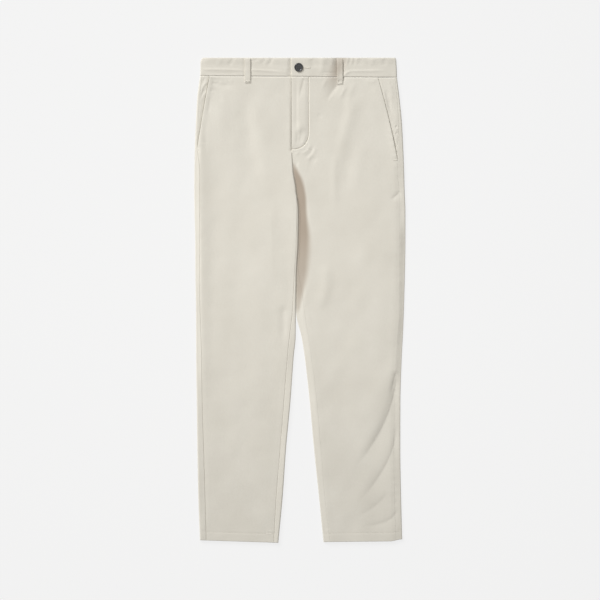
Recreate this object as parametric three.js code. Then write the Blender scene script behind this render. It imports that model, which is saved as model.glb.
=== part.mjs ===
// Chino trousers laid flat with the front up. Millimetres, +Z up, the waist towards +Y.
// Right and left are the wearer's: the right leg lies on -X. The underside rests on z = 0.
import * as THREE from 'three';

// Driving sizes
const LENGTH = 1042;
const WAIST_TOP_Y = LENGTH / 2;
const BAND_DEPTH = 41;
const CROTCH_DOWN = 285;
const CROTCH_X = -8.4;
const WRAP_RISE = 50;
const WRAP_SPAN = 17;
const CLOTH = 1.5;
const BAND_CLOTH = 1.8;
const HEM_CLOTH = 2;
const HEM_DEPTH = 19;
const SEAM_GAP = 0.3;
const LAYER_GAP = 0.55;

// Each leg's sections, by the distance down from the top of the waistband. The four middle
// columns are places across the leg: the outer fold, the side seam, the inside leg seam
// (the centre front above the crotch) and the inner fold. The last four are heights and the
// width over which the cloth comes down to the inner fold. Beside the crotch the left leg
// comes down in a wide hollow under the right leg's higher edge.
const COLUMNS = [
  'down', 'outer', 'outseam', 'inseam', 'inner', 'outerHigh', 'crown', 'innerHigh', 'innerRoll',
];
const RIGHT_SECTIONS = [
  [41, -214.8, -210.5, -18.1, -18.1, 5.3, 5.9, 5.9, 12],
  [90, -221.2, -215.5, -18.1, -18.1, 5.4, 6.2, 6.2, 12],
  [140, -223.8, -218.5, -18.1, -18.1, 5.5, 6.4, 6.3, 12],
  [190, -226.0, -221.0, -18.1, -18.1, 5.4, 6.5, 6.4, 12],
  [240, -227.0, -215.5, -15.0, -15.0, 5.2, 6.6, 6.6, 10],
  [285, -227.5, -215.2, -8.4, -8.4, 5.0, 6.6, 6.6, 8],
  [335, -226.8, -215.2, -6.8, -3.2, 4.8, 6.6, 6.6, 8],
  [395, -225.3, -215.7, -7.9, -4.1, 4.8, 6.5, 6.5, 8],
  [460, -225.0, -215.9, -11.6, -7.4, 4.7, 6.4, 6.2, 10],
  [545, -223.8, -214.6, -16.2, -8.8, 4.6, 6.3, 5.4, 14],
  [600, -223.6, -212.6, -22.4, -9.3, 4.5, 6.2, 4.8, 16],
  [640, -223.4, -211.3, -26.6, -13.3, 4.5, 6.2, 4.7, 16],
  [740, -222.1, -209.8, -34.4, -20.6, 4.5, 6.1, 4.6, 16],
  [840, -220.8, -206.8, -42.4, -29.9, 4.5, 6.0, 4.5, 16],
  [940, -218.9, -203.8, -50.5, -36.9, 4.4, 5.9, 4.4, 16],
  [1042, -215.2, -201.2, -56.5, -46.6, 4.4, 5.8, 4.4, 16],
];
const LEFT_SECTIONS = [
  [41, 208.6, 204.3, -18.1, -18.1, 5.3, 5.9, 5.9, 12],
  [90, 214.4, 209.4, -18.1, -18.1, 5.4, 6.2, 6.2, 12],
  [140, 219.2, 213.4, -18.1, -18.1, 5.5, 6.4, 6.3, 12],
  [190, 221.8, 212.9, -18.1, -18.1, 5.4, 6.5, 6.2, 12],
  [240, 223.8, 211.5, -15.0, -15.0, 5.2, 6.6, 5.0, 16],
  [285, 225.0, 214.5, -8.4, -8.4, 5.0, 6.6, 3.6, 24],
  [335, 226.7, 215.2, 1.0, -3.1, 4.8, 6.6, 3.3, 27],
  [395, 226.6, 214.6, 0.2, -4.0, 4.8, 6.6, 3.3, 34],
  [460, 225.6, 214.4, -2.2, -7.3, 4.7, 6.6, 3.3, 34],
  [500, 224.6, 214.4, 4.3, -8.1, 4.7, 6.6, 3.4, 24],
  [545, 223.3, 214.2, 10.5, -8.4, 4.6, 6.5, 3.6, 18],
  [600, 221.0, 210.2, 18.6, 3.2, 4.5, 6.4, 4.1, 16],
  [640, 218.9, 207.4, 24.6, 9.6, 4.5, 6.4, 4.4, 16],
  [740, 215.8, 204.3, 37.0, 20.8, 4.5, 6.3, 4.6, 16],
  [840, 215.6, 202.1, 45.2, 30.0, 4.5, 6.2, 4.5, 16],
  [940, 217.2, 203.8, 53.2, 40.2, 4.4, 6.0, 4.4, 16],
  [1042, 219.7, 206.4, 65.0, 50.4, 4.4, 5.8, 4.4, 16],
];
const OUTER_ROLL = 26;

// The waistband's outer fold at each end of its depth, with its rounded top corners
const BAND_COLUMNS = ['down', 'right', 'left'];
const BAND_SECTIONS = [
  [0, -208.6, 205.0],
  [4.5, -212.6, 206.8],
  [11, -214.2, 207.2],
  [26, -214.2, 208.2],
  [41, -214.8, 208.6],
];
const BAND_SIDE_HIGH = 5.2;
const BAND_HIGH = 6.1;
const BAND_ROLL = 30;

// Centre front: the left side laps over the right one
const LAP_X = -18.1;
const LAP_LIFT = 0.8;
const LAP_BLEND = 22;
const UNDERLAP_END_X = 17;
const UNDERLAP_STEP = 7;

// Fly: the J stitch stands this far from the lap and turns in to it at the bottom
const FLY_WIDTH = 37.4;
const FLY_LIFT = 0.9;
const FLY_STRAIGHT_DOWN = 160;
const FLY_BOTTOM_DOWN = 197;
const FLY_BLEND = 6;

// Slanted pocket edges, from the waist seam to the side seam
const POCKETS = {
  right: { topX: -194.1, endDown: 194, bow: 0.6 },
  left: { topX: 167.6, endDown: 219, bow: 3.4 },
};
const FACING_TUCK = 14;

// Seams and hems lean a little across the garment, as it was laid down
const WAIST_LEAN = 0.0085;
const WAIST_LEAN_FADE = 160;
const HEM_LEAN_START = 900;
const HEMS = {
  right: { outerDown: 1037.5, innerDown: 1043 },
  left: { outerDown: 1036.5, innerDown: 1041 },
};

// The largest folds of the fronts: a soft ridge (high above 0) or trough (below 0) along a
// curve from one point to another that passes the middle point. Places are x and down.
const FOLD_COLUMNS = ['fromX', 'fromDown', 'midX', 'midDown', 'toX', 'toDown', 'width', 'high'];
const FOLDS = [
  [195, 600, 185, 665, 158, 718, 26, 0.5],
  [196, 716, 172, 795, 116, 884, 15, -1.9],
  [198, 768, 176, 850, 122, 932, 14, 0.8],
  [198, 818, 176, 892, 99, 963, 13, -1.7],
  [178, 952, 155, 972, 128, 986, 9, -1.1],
  [210, 979, 190, 994, 142, 1007, 8, -1.1],
  [102, 46, 86, 70, 64, 90, 9, 0.7],
  [80, 50, 70, 60, 58, 68, 8, -0.7],
  [119, 75, 100, 149, 76, 246, 14, 0.6],
  [142, 167, 126, 225, 122, 279, 14, 0.5],
  [101, 205, 99, 245, 99, 290, 12, -0.5],
  [49, 441, 56, 494, 33, 553, 14, 0.5],
  [-174, 64, -174, 140, -165, 212, 18, 0.5],
  [-118, 81, -118, 115, -118, 148, 14, 0.4],
  [-158, 114, -152, 160, -148, 197, 14, -0.4],
  [-204, 217, -199, 420, -198, 668, 11, -0.7],
  [-73, 329, -73, 410, -73, 488, 16, 0.5],
  [-52, 342, -52, 430, -52, 509, 14, -0.4],
  [-36, 530, -36, 570, -37, 620, 9, -0.6],
];
const FOLD_STEPS = 8;
const FOLD_EDGE_FADE = 14;

// Belt loops and button
const LOOP_WIDTH = 12.6;
const LOOP_TOP_DOWN = 1.5;
const LOOP_LIFT = 1.5;
const LOOPS = {
  right: { x: -112.6, endDown: 55 },
  left: { x: 86.0, endDown: 57 },
};
const BUTTON = { x: -2.6, down: 20.6, radius: 9.2, high: 3, rim: 0.6, holeRadius: 0.9, holeAt: 2.4 };

// How finely the cloth is cut into faces
const ROWS_DOWN = [
  41, 75, 108, 140, 165, 182, 194, 204, 219, 240, 262, 285, 302, 318, 335, 365, 395, 427,
  460, 502, 545, 572, 600, 640, 680, 715, 750, 785, 820, 855, 890, 930, 975, 1022, 1024, 1042,
];
const FRONT_STEPS = 17;
const FRONT_CLOSER = 1.35;
const WRAP_STEPS = 2;
const ARC_STEPS = 4;
const FLAT_STEPS = 2;

const COLOURS = { cloth: 0xdcd7ca, button: 0x3c3b3d };

const lerp = (a, b, t) => a + (b - a) * t;
const clamp = (t) => Math.min(1, Math.max(0, t));
const ease = (t) => clamp(t) ** 2 * (3 - 2 * clamp(t));
const fade = (t) => 1 - ease(t);
const steps = (count) => Array.from({ length: count + 1 }, (_, i) => i / count);

// One column of a table at a distance down, on a smooth curve that never overshoots its rows
function columnAt(table, column, down) {
  const last = table.length - 1;
  const d = Math.min(table[last][0], Math.max(table[0][0], down));
  let i = 0;
  while (i < last - 1 && d > table[i + 1][0]) i += 1;
  const rise = (k) => (table[k + 1][column] - table[k][column]) / (table[k + 1][0] - table[k][0]);
  const slope = (k) => {
    if (k === 0) return rise(0);
    if (k === last) return rise(last - 1);
    const before = rise(k - 1);
    const after = rise(k);
    return before * after > 0 ? (2 * before * after) / (before + after) : 0;
  };
  const span = table[i + 1][0] - table[i][0];
  const t = (d - table[i][0]) / span;
  const cubic = t * t * (3 - 2 * t);
  return (
    lerp(table[i][column], table[i + 1][column], cubic) +
    span * t * (1 - t) * ((1 - t) * slope(i) - t * slope(i + 1))
  );
}

const SIDES = {
  right: { name: 'right', sections: RIGHT_SECTIONS, out: -1 },
  left: { name: 'left', sections: LEFT_SECTIONS, out: 1 },
};

// A side's section at a distance down. Above the crotch both sides share the centre front.
function sectionAt(side, down) {
  const section = {};
  COLUMNS.forEach((name, column) => {
    const shared = down <= CROTCH_DOWN && (name === 'inseam' || name === 'inner');
    section[name] = columnAt(shared ? RIGHT_SECTIONS : side.sections, column, down);
  });
  return section;
}

// The J of the fly: how far across it reaches at a distance down
function flyReach(down) {
  if (down <= FLY_STRAIGHT_DOWN) return LAP_X + FLY_WIDTH;
  const t = clamp((down - FLY_STRAIGHT_DOWN) / (FLY_BOTTOM_DOWN - FLY_STRAIGHT_DOWN));
  return LAP_X + FLY_WIDTH * Math.sqrt(1 - t * t);
}

function flyLift(x, down) {
  const insideSide = (flyReach(down) - x) / FLY_BLEND;
  const insideBottom = (FLY_BOTTOM_DOWN - down) / FLY_BLEND;
  return FLY_LIFT * ease(insideSide) * ease(insideBottom);
}

// Points of each fold's curve, with how far along it each one is
const FOLD_CURVES = FOLDS.map((row) => {
  const fold = Object.fromEntries(FOLD_COLUMNS.map((name, i) => [name, row[i]]));
  const points = steps(FOLD_STEPS).map((t) => {
    const first = (1 - t) * (1 - 2 * t);
    const middle = 4 * t * (1 - t);
    const end = t * (2 * t - 1);
    return {
      x: first * fold.fromX + middle * fold.midX + end * fold.toX,
      down: first * fold.fromDown + middle * fold.midDown + end * fold.toDown,
      along: t,
    };
  });
  return { ...fold, points };
});

function foldHeight(x, down) {
  let height = 0;
  for (const fold of FOLD_CURVES) {
    let best = { distance: Infinity, along: 0 };
    for (let i = 0; i < FOLD_STEPS; i += 1) {
      const a = fold.points[i];
      const b = fold.points[i + 1];
      const dx = b.x - a.x;
      const dd = b.down - a.down;
      const t = clamp(((x - a.x) * dx + (down - a.down) * dd) / (dx * dx + dd * dd));
      const distance = Math.hypot(x - a.x - t * dx, down - a.down - t * dd);
      if (distance < best.distance) best = { distance, along: lerp(a.along, b.along, t) };
    }
    const ends = ease(best.along / 0.25) * ease((1 - best.along) / 0.35);
    height += fold.high * ends * Math.exp(-((best.distance / fold.width) ** 2));
  }
  return height;
}

// Height of the upper cloth's face: a low crown that comes down to both folded edges
function frontHeight(side, section, x, down) {
  const fromOuter = Math.abs(x - section.outer);
  const fromInner = Math.abs(x - section.inner);
  const outerDrop = (section.crown - section.outerHigh) * fade(fromOuter / OUTER_ROLL);
  const innerDrop = (section.crown - section.innerHigh) * fade(fromInner / section.innerRoll);
  const inside = ease(fromOuter / FOLD_EDGE_FADE) * ease(fromInner / FOLD_EDGE_FADE);
  const lift = side.name === 'left' ? flyLift(x, down) : 0;
  return section.crown - outerDrop - innerDrop + foldHeight(x, down) * inside + lift;
}

// Where the waist seam and the hems really are, against the straight rows of the tables
function leanAt(side, x, down) {
  const waist = WAIST_LEAN * x * (down < BAND_DEPTH
    ? down / BAND_DEPTH
    : fade((down - BAND_DEPTH) / WAIST_LEAN_FADE));
  const section = sectionAt(side, LENGTH);
  const across = clamp((x - section.outer) / (section.inner - section.outer));
  const hem = lerp(HEMS[side.name].outerDown, HEMS[side.name].innerDown, across) - LENGTH;
  return waist + hem * ease((down - HEM_LEAN_START) / (LENGTH - HEM_LEAN_START));
}

const clothAt = (down) => (down > LENGTH - HEM_DEPTH ? HEM_CLOTH : CLOTH);

// A closed wall between two faces of the same rows and columns. A row is
// { down, upper: [[x, z], ...], lower: [[x, z], ...] } in the same order.
function clothWall(name, side, rows) {
  const width = rows[0].upper.length;
  const positions = [];
  for (const face of ['upper', 'lower']) {
    for (const row of rows) {
      for (const [x, z] of row[face]) {
        positions.push(x, WAIST_TOP_Y - row.down - leanAt(side, x, row.down), z);
      }
    }
  }
  const lowerStart = rows.length * width;
  const index = [];
  const quad = (a, b, c, d) => index.push(a, b, c, a, c, d);
  for (let r = 0; r < rows.length - 1; r += 1) {
    for (let c = 0; c < width - 1; c += 1) {
      const corner = r * width + c;
      quad(corner, corner + 1, corner + width + 1, corner + width);
      const below = lowerStart + corner;
      quad(below, below + width, below + width + 1, below + 1);
    }
    for (const [c, turned] of [[0, false], [width - 1, true]]) {
      const top = r * width + c;
      const ring = [top, top + width, lowerStart + top + width, lowerStart + top];
      quad(...(turned ? ring.reverse() : ring));
    }
  }
  for (const [r, turned] of [[0, true], [rows.length - 1, false]]) {
    for (let c = 0; c < width - 1; c += 1) {
      const top = r * width + c;
      const ring = [top, top + 1, lowerStart + top + 1, lowerStart + top];
      quad(...(turned ? ring.reverse() : ring));
    }
  }
  return solid(name, positions, index, COLOURS.cloth, 0.9);
}

// A named mesh whose faces point outwards
function solid(name, positions, index, color, roughness) {
  const at = (i) => new THREE.Vector3(...positions.slice(3 * i, 3 * i + 3));
  let volume = 0;
  for (let i = 0; i < index.length; i += 3) {
    volume += at(index[i]).dot(at(index[i + 1]).cross(at(index[i + 2])));
  }
  const geometry = new THREE.BufferGeometry();
  geometry.setAttribute('position', new THREE.Float32BufferAttribute(positions, 3));
  geometry.setIndex(volume > 0 ? index : index.reverse());
  geometry.computeVertexNormals();
  const material = new THREE.MeshStandardMaterial({ color, roughness, metalness: 0 });
  const mesh = new THREE.Mesh(geometry, material);
  mesh.name = name;
  return mesh;
}

// Half circle round a folded edge, from the upper side to the underside
function foldArc(edgeX, out, radius, wall) {
  return steps(ARC_STEPS).map((t) => {
    const angle = Math.PI * (0.5 - t);
    const centreX = edgeX - out * radius;
    return {
      upper: [centreX + out * radius * Math.cos(angle), radius + radius * Math.sin(angle)],
      lower: [
        centreX + out * (radius - wall) * Math.cos(angle),
        radius + (radius - wall) * Math.sin(angle),
      ],
    };
  });
}

// Points of a level or crowned stretch, both faces, without the last one
function stretch(fromX, toX, count, heightAt, wall) {
  return steps(count).slice(0, count).map((t) => {
    const x = lerp(fromX, toX, t);
    const z = heightAt(x);
    return { upper: [x, z], lower: [x, z - wall] };
  });
}

const asRow = (down, points) => ({
  down,
  upper: points.map((p) => p.upper),
  lower: points.map((p) => p.lower),
});

function pocketEdge(side, down) {
  const pocket = POCKETS[side.name];
  const t = clamp((down - BAND_DEPTH) / (pocket.endDown - BAND_DEPTH));
  const endX = sectionAt(side, pocket.endDown).outseam;
  return lerp(pocket.topX, endX, t) + side.out * pocket.bow * 4 * t * (1 - t);
}

const seamRow = (down) => (down === BAND_DEPTH ? down + SEAM_GAP / 2 : down);

// Front: from the pocket edge or side seam across to the fly edge, crotch or inside leg seam
function frontPanel(side) {
  const rows = ROWS_DOWN.map((nominal) => {
    const down = seamRow(nominal);
    const section = sectionAt(side, down);
    const open = down < POCKETS[side.name].endDown;
    const outerX = open ? pocketEdge(side, down) : section.outseam - side.out * (SEAM_GAP / 2);
    const innerX = section.inseam + side.out * (SEAM_GAP / 2);
    const wall = clothAt(down);
    const points = steps(FRONT_STEPS).map((t) => {
      const x = lerp(innerX, outerX, t ** FRONT_CLOSER);
      const z = frontHeight(side, section, x, down);
      return { upper: [x, z], lower: [x, z - wall] };
    });
    return asRow(down, points);
  });
  return clothWall(`front_${side.name}_panel`, side, rows);
}

// Back: flat on the surface, round the outer fold up to the side seam, and below the crotch
// round the inner fold up to the inside leg seam. Above the crotch it ends at the centre back.
function backPanel(side) {
  const rows = ROWS_DOWN.map((nominal) => {
    const down = seamRow(nominal);
    const section = sectionAt(side, down);
    const wall = clothAt(down);
    const heightAt = (x) => frontHeight(side, section, x, down);
    const outerRadius = section.outerHigh / 2;
    const outerStraight = section.outer - side.out * outerRadius;
    const seamX = section.outseam + side.out * (SEAM_GAP / 2);
    const outerWrap = [
      ...stretch(seamX, outerStraight, WRAP_STEPS, heightAt, wall),
      ...foldArc(section.outer, side.out, outerRadius, wall),
    ];
    const movedOut = ease((down - CROTCH_DOWN) / (WRAP_RISE / 2));
    const risen = ease((down - CROTCH_DOWN) / WRAP_RISE);
    const innerRadius = section.innerHigh / 2;
    const innerStraight = section.inner + side.out * innerRadius;
    const insideLegX = section.inseam - side.out * (SEAM_GAP / 2);
    const innerWrap = [
      ...stretch(insideLegX, innerStraight, WRAP_STEPS, heightAt, wall),
      ...foldArc(section.inner, -side.out, innerRadius, wall),
    ].reverse();
    const centreBack = CROTCH_X * clamp(down / CROTCH_DOWN) + side.out * (SEAM_GAP / 2);
    const inner = innerWrap.map((point, i) => {
      const flatX = centreBack + side.out * WRAP_SPAN * (1 - i / (innerWrap.length - 1));
      return {
        upper: [lerp(flatX, point.upper[0], movedOut), lerp(0, point.upper[1], risen)],
        lower: [lerp(flatX, point.lower[0], movedOut), lerp(wall, point.lower[1], risen)],
      };
    });
    const last = outerWrap.pop();
    const across = stretch(last.upper[0], inner[0].upper[0], FLAT_STEPS, () => 0, -wall);
    return asRow(down, [...outerWrap, ...across, ...inner]);
  });
  return clothWall(`back_${side.name}_panel`, side, rows);
}

// The cloth behind a slanted pocket edge, tucked a little way under the front
function pocketFacing(side) {
  const pocket = POCKETS[side.name];
  const rows = steps(9).map((t) => {
    const down = lerp(BAND_DEPTH + SEAM_GAP / 2, pocket.endDown - 2, t);
    const section = sectionAt(side, down);
    const outerX = section.outseam - side.out * (SEAM_GAP / 2);
    const innerX = pocketEdge(side, down) - side.out * FACING_TUCK;
    const points = steps(4).map((s) => {
      const x = lerp(outerX, innerX, s);
      const z = frontHeight(side, section, x, down) - CLOTH - LAYER_GAP;
      return { upper: [x, z], lower: [x, z - CLOTH] };
    });
    return asRow(down, points);
  });
  return clothWall(`pocket_facing_${side.name}`, side, rows);
}

// The layer behind the fly, seamed to the right front and lying under the left one
function flyUnderlap() {
  const side = SIDES.left;
  const rows = steps(14).map((t) => {
    const down = lerp(BAND_DEPTH + SEAM_GAP / 2, FLY_BOTTOM_DOWN - 3, t);
    const section = sectionAt(side, down);
    const points = steps(5).map((s) => {
      const x = lerp(section.inner + SEAM_GAP / 2, flyReach(down) - 2, s);
      const z = frontHeight(side, section, x, down) - CLOTH - LAYER_GAP;
      return { upper: [x, z], lower: [x, z - CLOTH] };
    });
    return asRow(down, points);
  });
  return clothWall('fly_underlap', side, rows);
}

// Height of the waistband's upper face, which steps up or down at the lap
function bandHeight(side, outer, x) {
  const drop = (BAND_HIGH - BAND_SIDE_HIGH) * fade(Math.abs(x - outer) / BAND_ROLL);
  const lapped = BAND_HIGH + LAP_LIFT - BAND_CLOTH - SEAM_GAP;
  if (side.name === 'left') {
    return BAND_HIGH - drop + LAP_LIFT * ease((UNDERLAP_END_X + LAP_BLEND - x) / LAP_BLEND);
  }
  const under = ease((x - LAP_X + UNDERLAP_STEP + 1) / UNDERLAP_STEP);
  return lerp(BAND_HIGH - drop, lapped, under);
}

const bandOuter = (side, down) => (
  columnAt(BAND_SECTIONS, BAND_COLUMNS.indexOf(side.name), down)
);

// Half a waistband: from its front end round the side fold to the centre back
function waistbandHalf(side) {
  const frontEnd = side.name === 'left' ? LAP_X + SEAM_GAP / 2 : UNDERLAP_END_X;
  const rows = BAND_SECTIONS.map(([nominal]) => {
    const down = nominal === BAND_DEPTH ? nominal - SEAM_GAP / 2 : nominal;
    const outer = bandOuter(side, down);
    const radius = BAND_SIDE_HIGH / 2;
    const heightAt = (x) => bandHeight(side, outer, x);
    const outerStraight = outer - side.out * radius;
    const nearLap = side.name === 'left' ? 45 : -32;
    const points = [
      ...stretch(frontEnd, nearLap, 8, heightAt, BAND_CLOTH),
      ...stretch(nearLap, outerStraight, 8, heightAt, BAND_CLOTH),
      ...foldArc(outer, side.out, radius, BAND_CLOTH).slice(0, ARC_STEPS),
      ...stretch(outerStraight, side.out * (SEAM_GAP / 2), 4, () => 0, -BAND_CLOTH),
      {
        upper: [side.out * (SEAM_GAP / 2), 0],
        lower: [side.out * (SEAM_GAP / 2), BAND_CLOTH],
      },
    ];
    return asRow(down, points);
  });
  return clothWall(`waistband_${side.name}`, side, rows);
}

// A belt loop lies over the band, tacked down at both ends and a little raised between
function beltLoop(side) {
  const loop = LOOPS[side.name];
  const rows = steps(14).map((t) => {
    const down = lerp(LOOP_TOP_DOWN, loop.endDown, t);
    const section = sectionAt(side, down);
    const outer = bandOuter(side, down);
    const raised = LOOP_LIFT * ease(t / 0.2) * ease((1 - t) / 0.2);
    const points = steps(4).map((s) => {
      const x = lerp(loop.x - LOOP_WIDTH / 2, loop.x + LOOP_WIDTH / 2, s);
      const band = bandHeight(side, outer, x);
      const onPanel = ease((down - BAND_DEPTH - 4) / 6);
      const base = lerp(band, frontHeight(side, section, x, down), onPanel);
      const z = base + LAYER_GAP + raised;
      return { upper: [x, z + CLOTH], lower: [x, z] };
    });
    return asRow(down, points);
  });
  return clothWall(`belt_loop_${side.name}`, side, rows);
}

// Button: a disc with a rounded edge and four holes, lying on the left end of the band
function waistButton() {
  const disc = new THREE.Shape();
  disc.absarc(0, 0, BUTTON.radius - BUTTON.rim, 0, 2 * Math.PI);
  for (const corner of [0, 1, 2, 3]) {
    const angle = (corner + 0.5) * (Math.PI / 2);
    const hole = new THREE.Path();
    const holeX = BUTTON.holeAt * Math.cos(angle);
    const holeY = BUTTON.holeAt * Math.sin(angle);
    hole.absarc(holeX, holeY, BUTTON.holeRadius, 0, 2 * Math.PI, true);
    disc.holes.push(hole);
  }
  const geometry = new THREE.ExtrudeGeometry(disc, {
    depth: BUTTON.high - 2 * BUTTON.rim,
    bevelThickness: BUTTON.rim,
    bevelSize: BUTTON.rim,
    bevelSegments: 1,
    curveSegments: 10,
  });
  const material = new THREE.MeshStandardMaterial({
    color: COLOURS.button,
    roughness: 0.35,
    metalness: 0,
  });
  const mesh = new THREE.Mesh(geometry, material);
  mesh.name = 'waist_button';
  const bandTop = bandHeight(SIDES.left, bandOuter(SIDES.left, BUTTON.down), BUTTON.x);
  mesh.position.set(
    BUTTON.x,
    WAIST_TOP_Y - BUTTON.down,
    bandTop + SEAM_GAP + BUTTON.rim,
  );
  return mesh;
}

const trousers = new THREE.Group();
trousers.name = 'chino_trousers';
for (const side of [SIDES.right, SIDES.left]) {
  trousers.add(frontPanel(side), backPanel(side), pocketFacing(side));
  trousers.add(waistbandHalf(side), beltLoop(side));
}
trousers.add(flyUnderlap(), waistButton());

export default trousers;
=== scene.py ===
# %% [markdown]
# Chino trousers, laid flat with the front up.
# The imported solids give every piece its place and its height. Here each one is dressed: the
# stiff 1.5 mm walls become cloth of its real weight, with rolled edges, seams, puckers and
# creases. The solids were worked out from short tables of sections, so the same tables are
# written here again and computed much more finely. Tables are in millimetres, down from the
# top of the waistband and across from the middle; meshes are in metres.

# %% Load the frame
import math

import bpy
import numpy as np
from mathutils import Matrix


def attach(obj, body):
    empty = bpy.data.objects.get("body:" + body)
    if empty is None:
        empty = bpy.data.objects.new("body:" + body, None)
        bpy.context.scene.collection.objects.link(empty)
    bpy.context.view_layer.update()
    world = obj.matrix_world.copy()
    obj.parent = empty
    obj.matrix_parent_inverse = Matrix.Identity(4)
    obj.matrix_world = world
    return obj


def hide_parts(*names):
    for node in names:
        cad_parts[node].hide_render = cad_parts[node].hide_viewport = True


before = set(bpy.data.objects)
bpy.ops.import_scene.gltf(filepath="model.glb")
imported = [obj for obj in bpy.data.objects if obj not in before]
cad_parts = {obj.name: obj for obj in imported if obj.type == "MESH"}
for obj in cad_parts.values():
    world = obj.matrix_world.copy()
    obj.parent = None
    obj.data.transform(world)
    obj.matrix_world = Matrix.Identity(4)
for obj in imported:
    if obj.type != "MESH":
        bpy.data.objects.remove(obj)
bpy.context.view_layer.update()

MM = 0.001
print("nodes", sorted(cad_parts))

# %% [markdown]
# The cut. A trouser leg laid flat is a flattened tube, so a row of its table says where the
# cloth folds over on each side, where the two long seams lie, and how high the upper cloth
# stands. The side seam and the inside leg seam have rolled on to the front, as they do when a
# pair is laid down by hand. A smooth curve through the rows gives every height between them.

# %% Sections of the two legs
LENGTH = 1042.0
WAIST_TOP_Y = LENGTH / 2
BAND_DEPTH = 41.0
CROTCH_DOWN = 285.0
CROTCH_X = -8.4
WRAP_RISE = 16.0
WRAP_SPAN = 17.0
HEM_DEPTH = 19.0
COLUMNS = ("down", "outer", "outseam", "inseam", "inner", "outer_high", "crown",
           "inner_high", "inner_roll")
RIGHT_LEG = np.array([
    (41, -214.8, -210.5, -18.1, -18.1, 5.3, 6.0, 6.0, 12),
    (90, -221.2, -215.5, -18.1, -18.1, 5.4, 6.3, 6.3, 12),
    (140, -223.8, -218.5, -18.1, -18.1, 5.5, 6.3, 6.6, 30),
    (190, -226.0, -221.0, -18.1, -18.1, 5.4, 6.0, 7.2, 45),
    (240, -227.0, -215.5, -15.0, -15.0, 5.3, 5.7, 7.7, 55),
    (285, -227.5, -215.2, -8.4, -8.4, 5.2, 5.6, 7.7, 55),
    (335, -226.8, -215.2, -6.8, -3.2, 5.1, 5.6, 7.4, 50),
    (395, -225.3, -215.7, -7.9, -4.1, 5.1, 5.6, 7.0, 40),
    (460, -225.0, -215.9, -11.6, -7.4, 5.0, 5.6, 6.4, 26),
    (545, -223.8, -214.6, -16.2, -8.8, 5.0, 5.5, 5.6, 18),
    (600, -223.6, -212.6, -22.4, -9.3, 4.9, 5.5, 5.2, 16),
    (640, -223.4, -211.3, -26.6, -13.3, 4.9, 5.4, 5.1, 16),
    (740, -222.1, -209.8, -34.4, -20.6, 4.9, 5.4, 5.2, 15),
    (840, -220.8, -206.8, -42.4, -29.9, 4.8, 5.4, 5.3, 14),
    (940, -218.9, -203.8, -50.5, -36.9, 4.8, 5.3, 5.3, 14),
    (1042, -215.2, -201.2, -56.5, -46.6, 4.7, 5.2, 5.1, 14),
], float)
LEFT_LEG = np.array([
    (41, 208.6, 204.3, -18.1, -18.1, 5.3, 6.0, 6.0, 12),
    (90, 214.4, 209.4, -18.1, -18.1, 5.4, 6.3, 6.3, 12),
    (140, 219.2, 212.2, -18.1, -18.1, 5.5, 6.6, 6.5, 12),
    (190, 221.8, 210.6, -18.1, -18.1, 5.4, 6.7, 6.4, 12),
    (240, 223.8, 209.6, -15.0, -15.0, 5.2, 6.8, 5.2, 16),
    (285, 225.0, 213.5, -8.4, -8.4, 5.0, 6.9, 3.9, 24),
    (335, 226.7, 215.2, 1.0, -3.6, 4.8, 6.9, 3.5, 27),
    (395, 226.6, 214.6, 0.2, -4.5, 4.8, 6.9, 3.5, 32),
    (460, 225.6, 214.4, -2.2, -7.8, 4.7, 6.9, 3.6, 32),
    (500, 224.6, 214.4, 4.3, -8.5, 4.7, 6.8, 3.8, 24),
    (545, 223.3, 214.2, 10.5, -8.6, 4.6, 6.6, 4.0, 18),
    (600, 221.0, 210.2, 18.6, 3.2, 4.5, 6.4, 4.1, 16),
    (640, 218.9, 207.4, 24.6, 9.6, 4.5, 6.4, 4.4, 16),
    (740, 215.8, 204.3, 37.0, 20.8, 4.5, 6.3, 4.6, 16),
    (840, 215.6, 202.1, 45.2, 30.0, 4.5, 6.2, 4.5, 16),
    (940, 217.2, 203.8, 53.2, 40.2, 4.4, 6.0, 4.4, 16),
    (1042, 219.7, 206.4, 65.0, 50.4, 4.4, 5.8, 4.4, 16),
], float)
OUTER_ROLL = 26.0
EDGE_FADE = 14.0
# hem: how far down its outer and its inner end lie; seam depths: on the front, on the back
SIDES = {
    "right": {"name": "right", "legs": RIGHT_LEG, "out": -1.0,
              "hem": (1037.5, 1043.0), "hem_lift": 0.0, "pocket_top": -194.1,
              "pocket_end": 194.0, "pocket_bow": 0.6,
              "outseam_depth": (0.25, 0.75), "inseam_depth": (0.75, 0.45)},
    "left": {"name": "left", "legs": LEFT_LEG, "out": 1.0,
             "hem": (1039.7, 1041.3), "hem_lift": 4.2, "pocket_top": 167.6,
             "pocket_end": 219.0, "pocket_bow": 2.2,
             "outseam_depth": (0.15, 0.15), "inseam_depth": (0.3, 0.15)},
}


def lerp(a, b, t):
    """a at t = 0, b at t = 1, straight between."""
    return a + (b - a) * t


def ease(t):
    """A soft step: 0 below t = 0, 1 above t = 1, and t squared times (3 - 2 t) between."""
    t = np.clip(t, 0.0, 1.0)
    return t * t * (3 - 2 * t)


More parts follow.
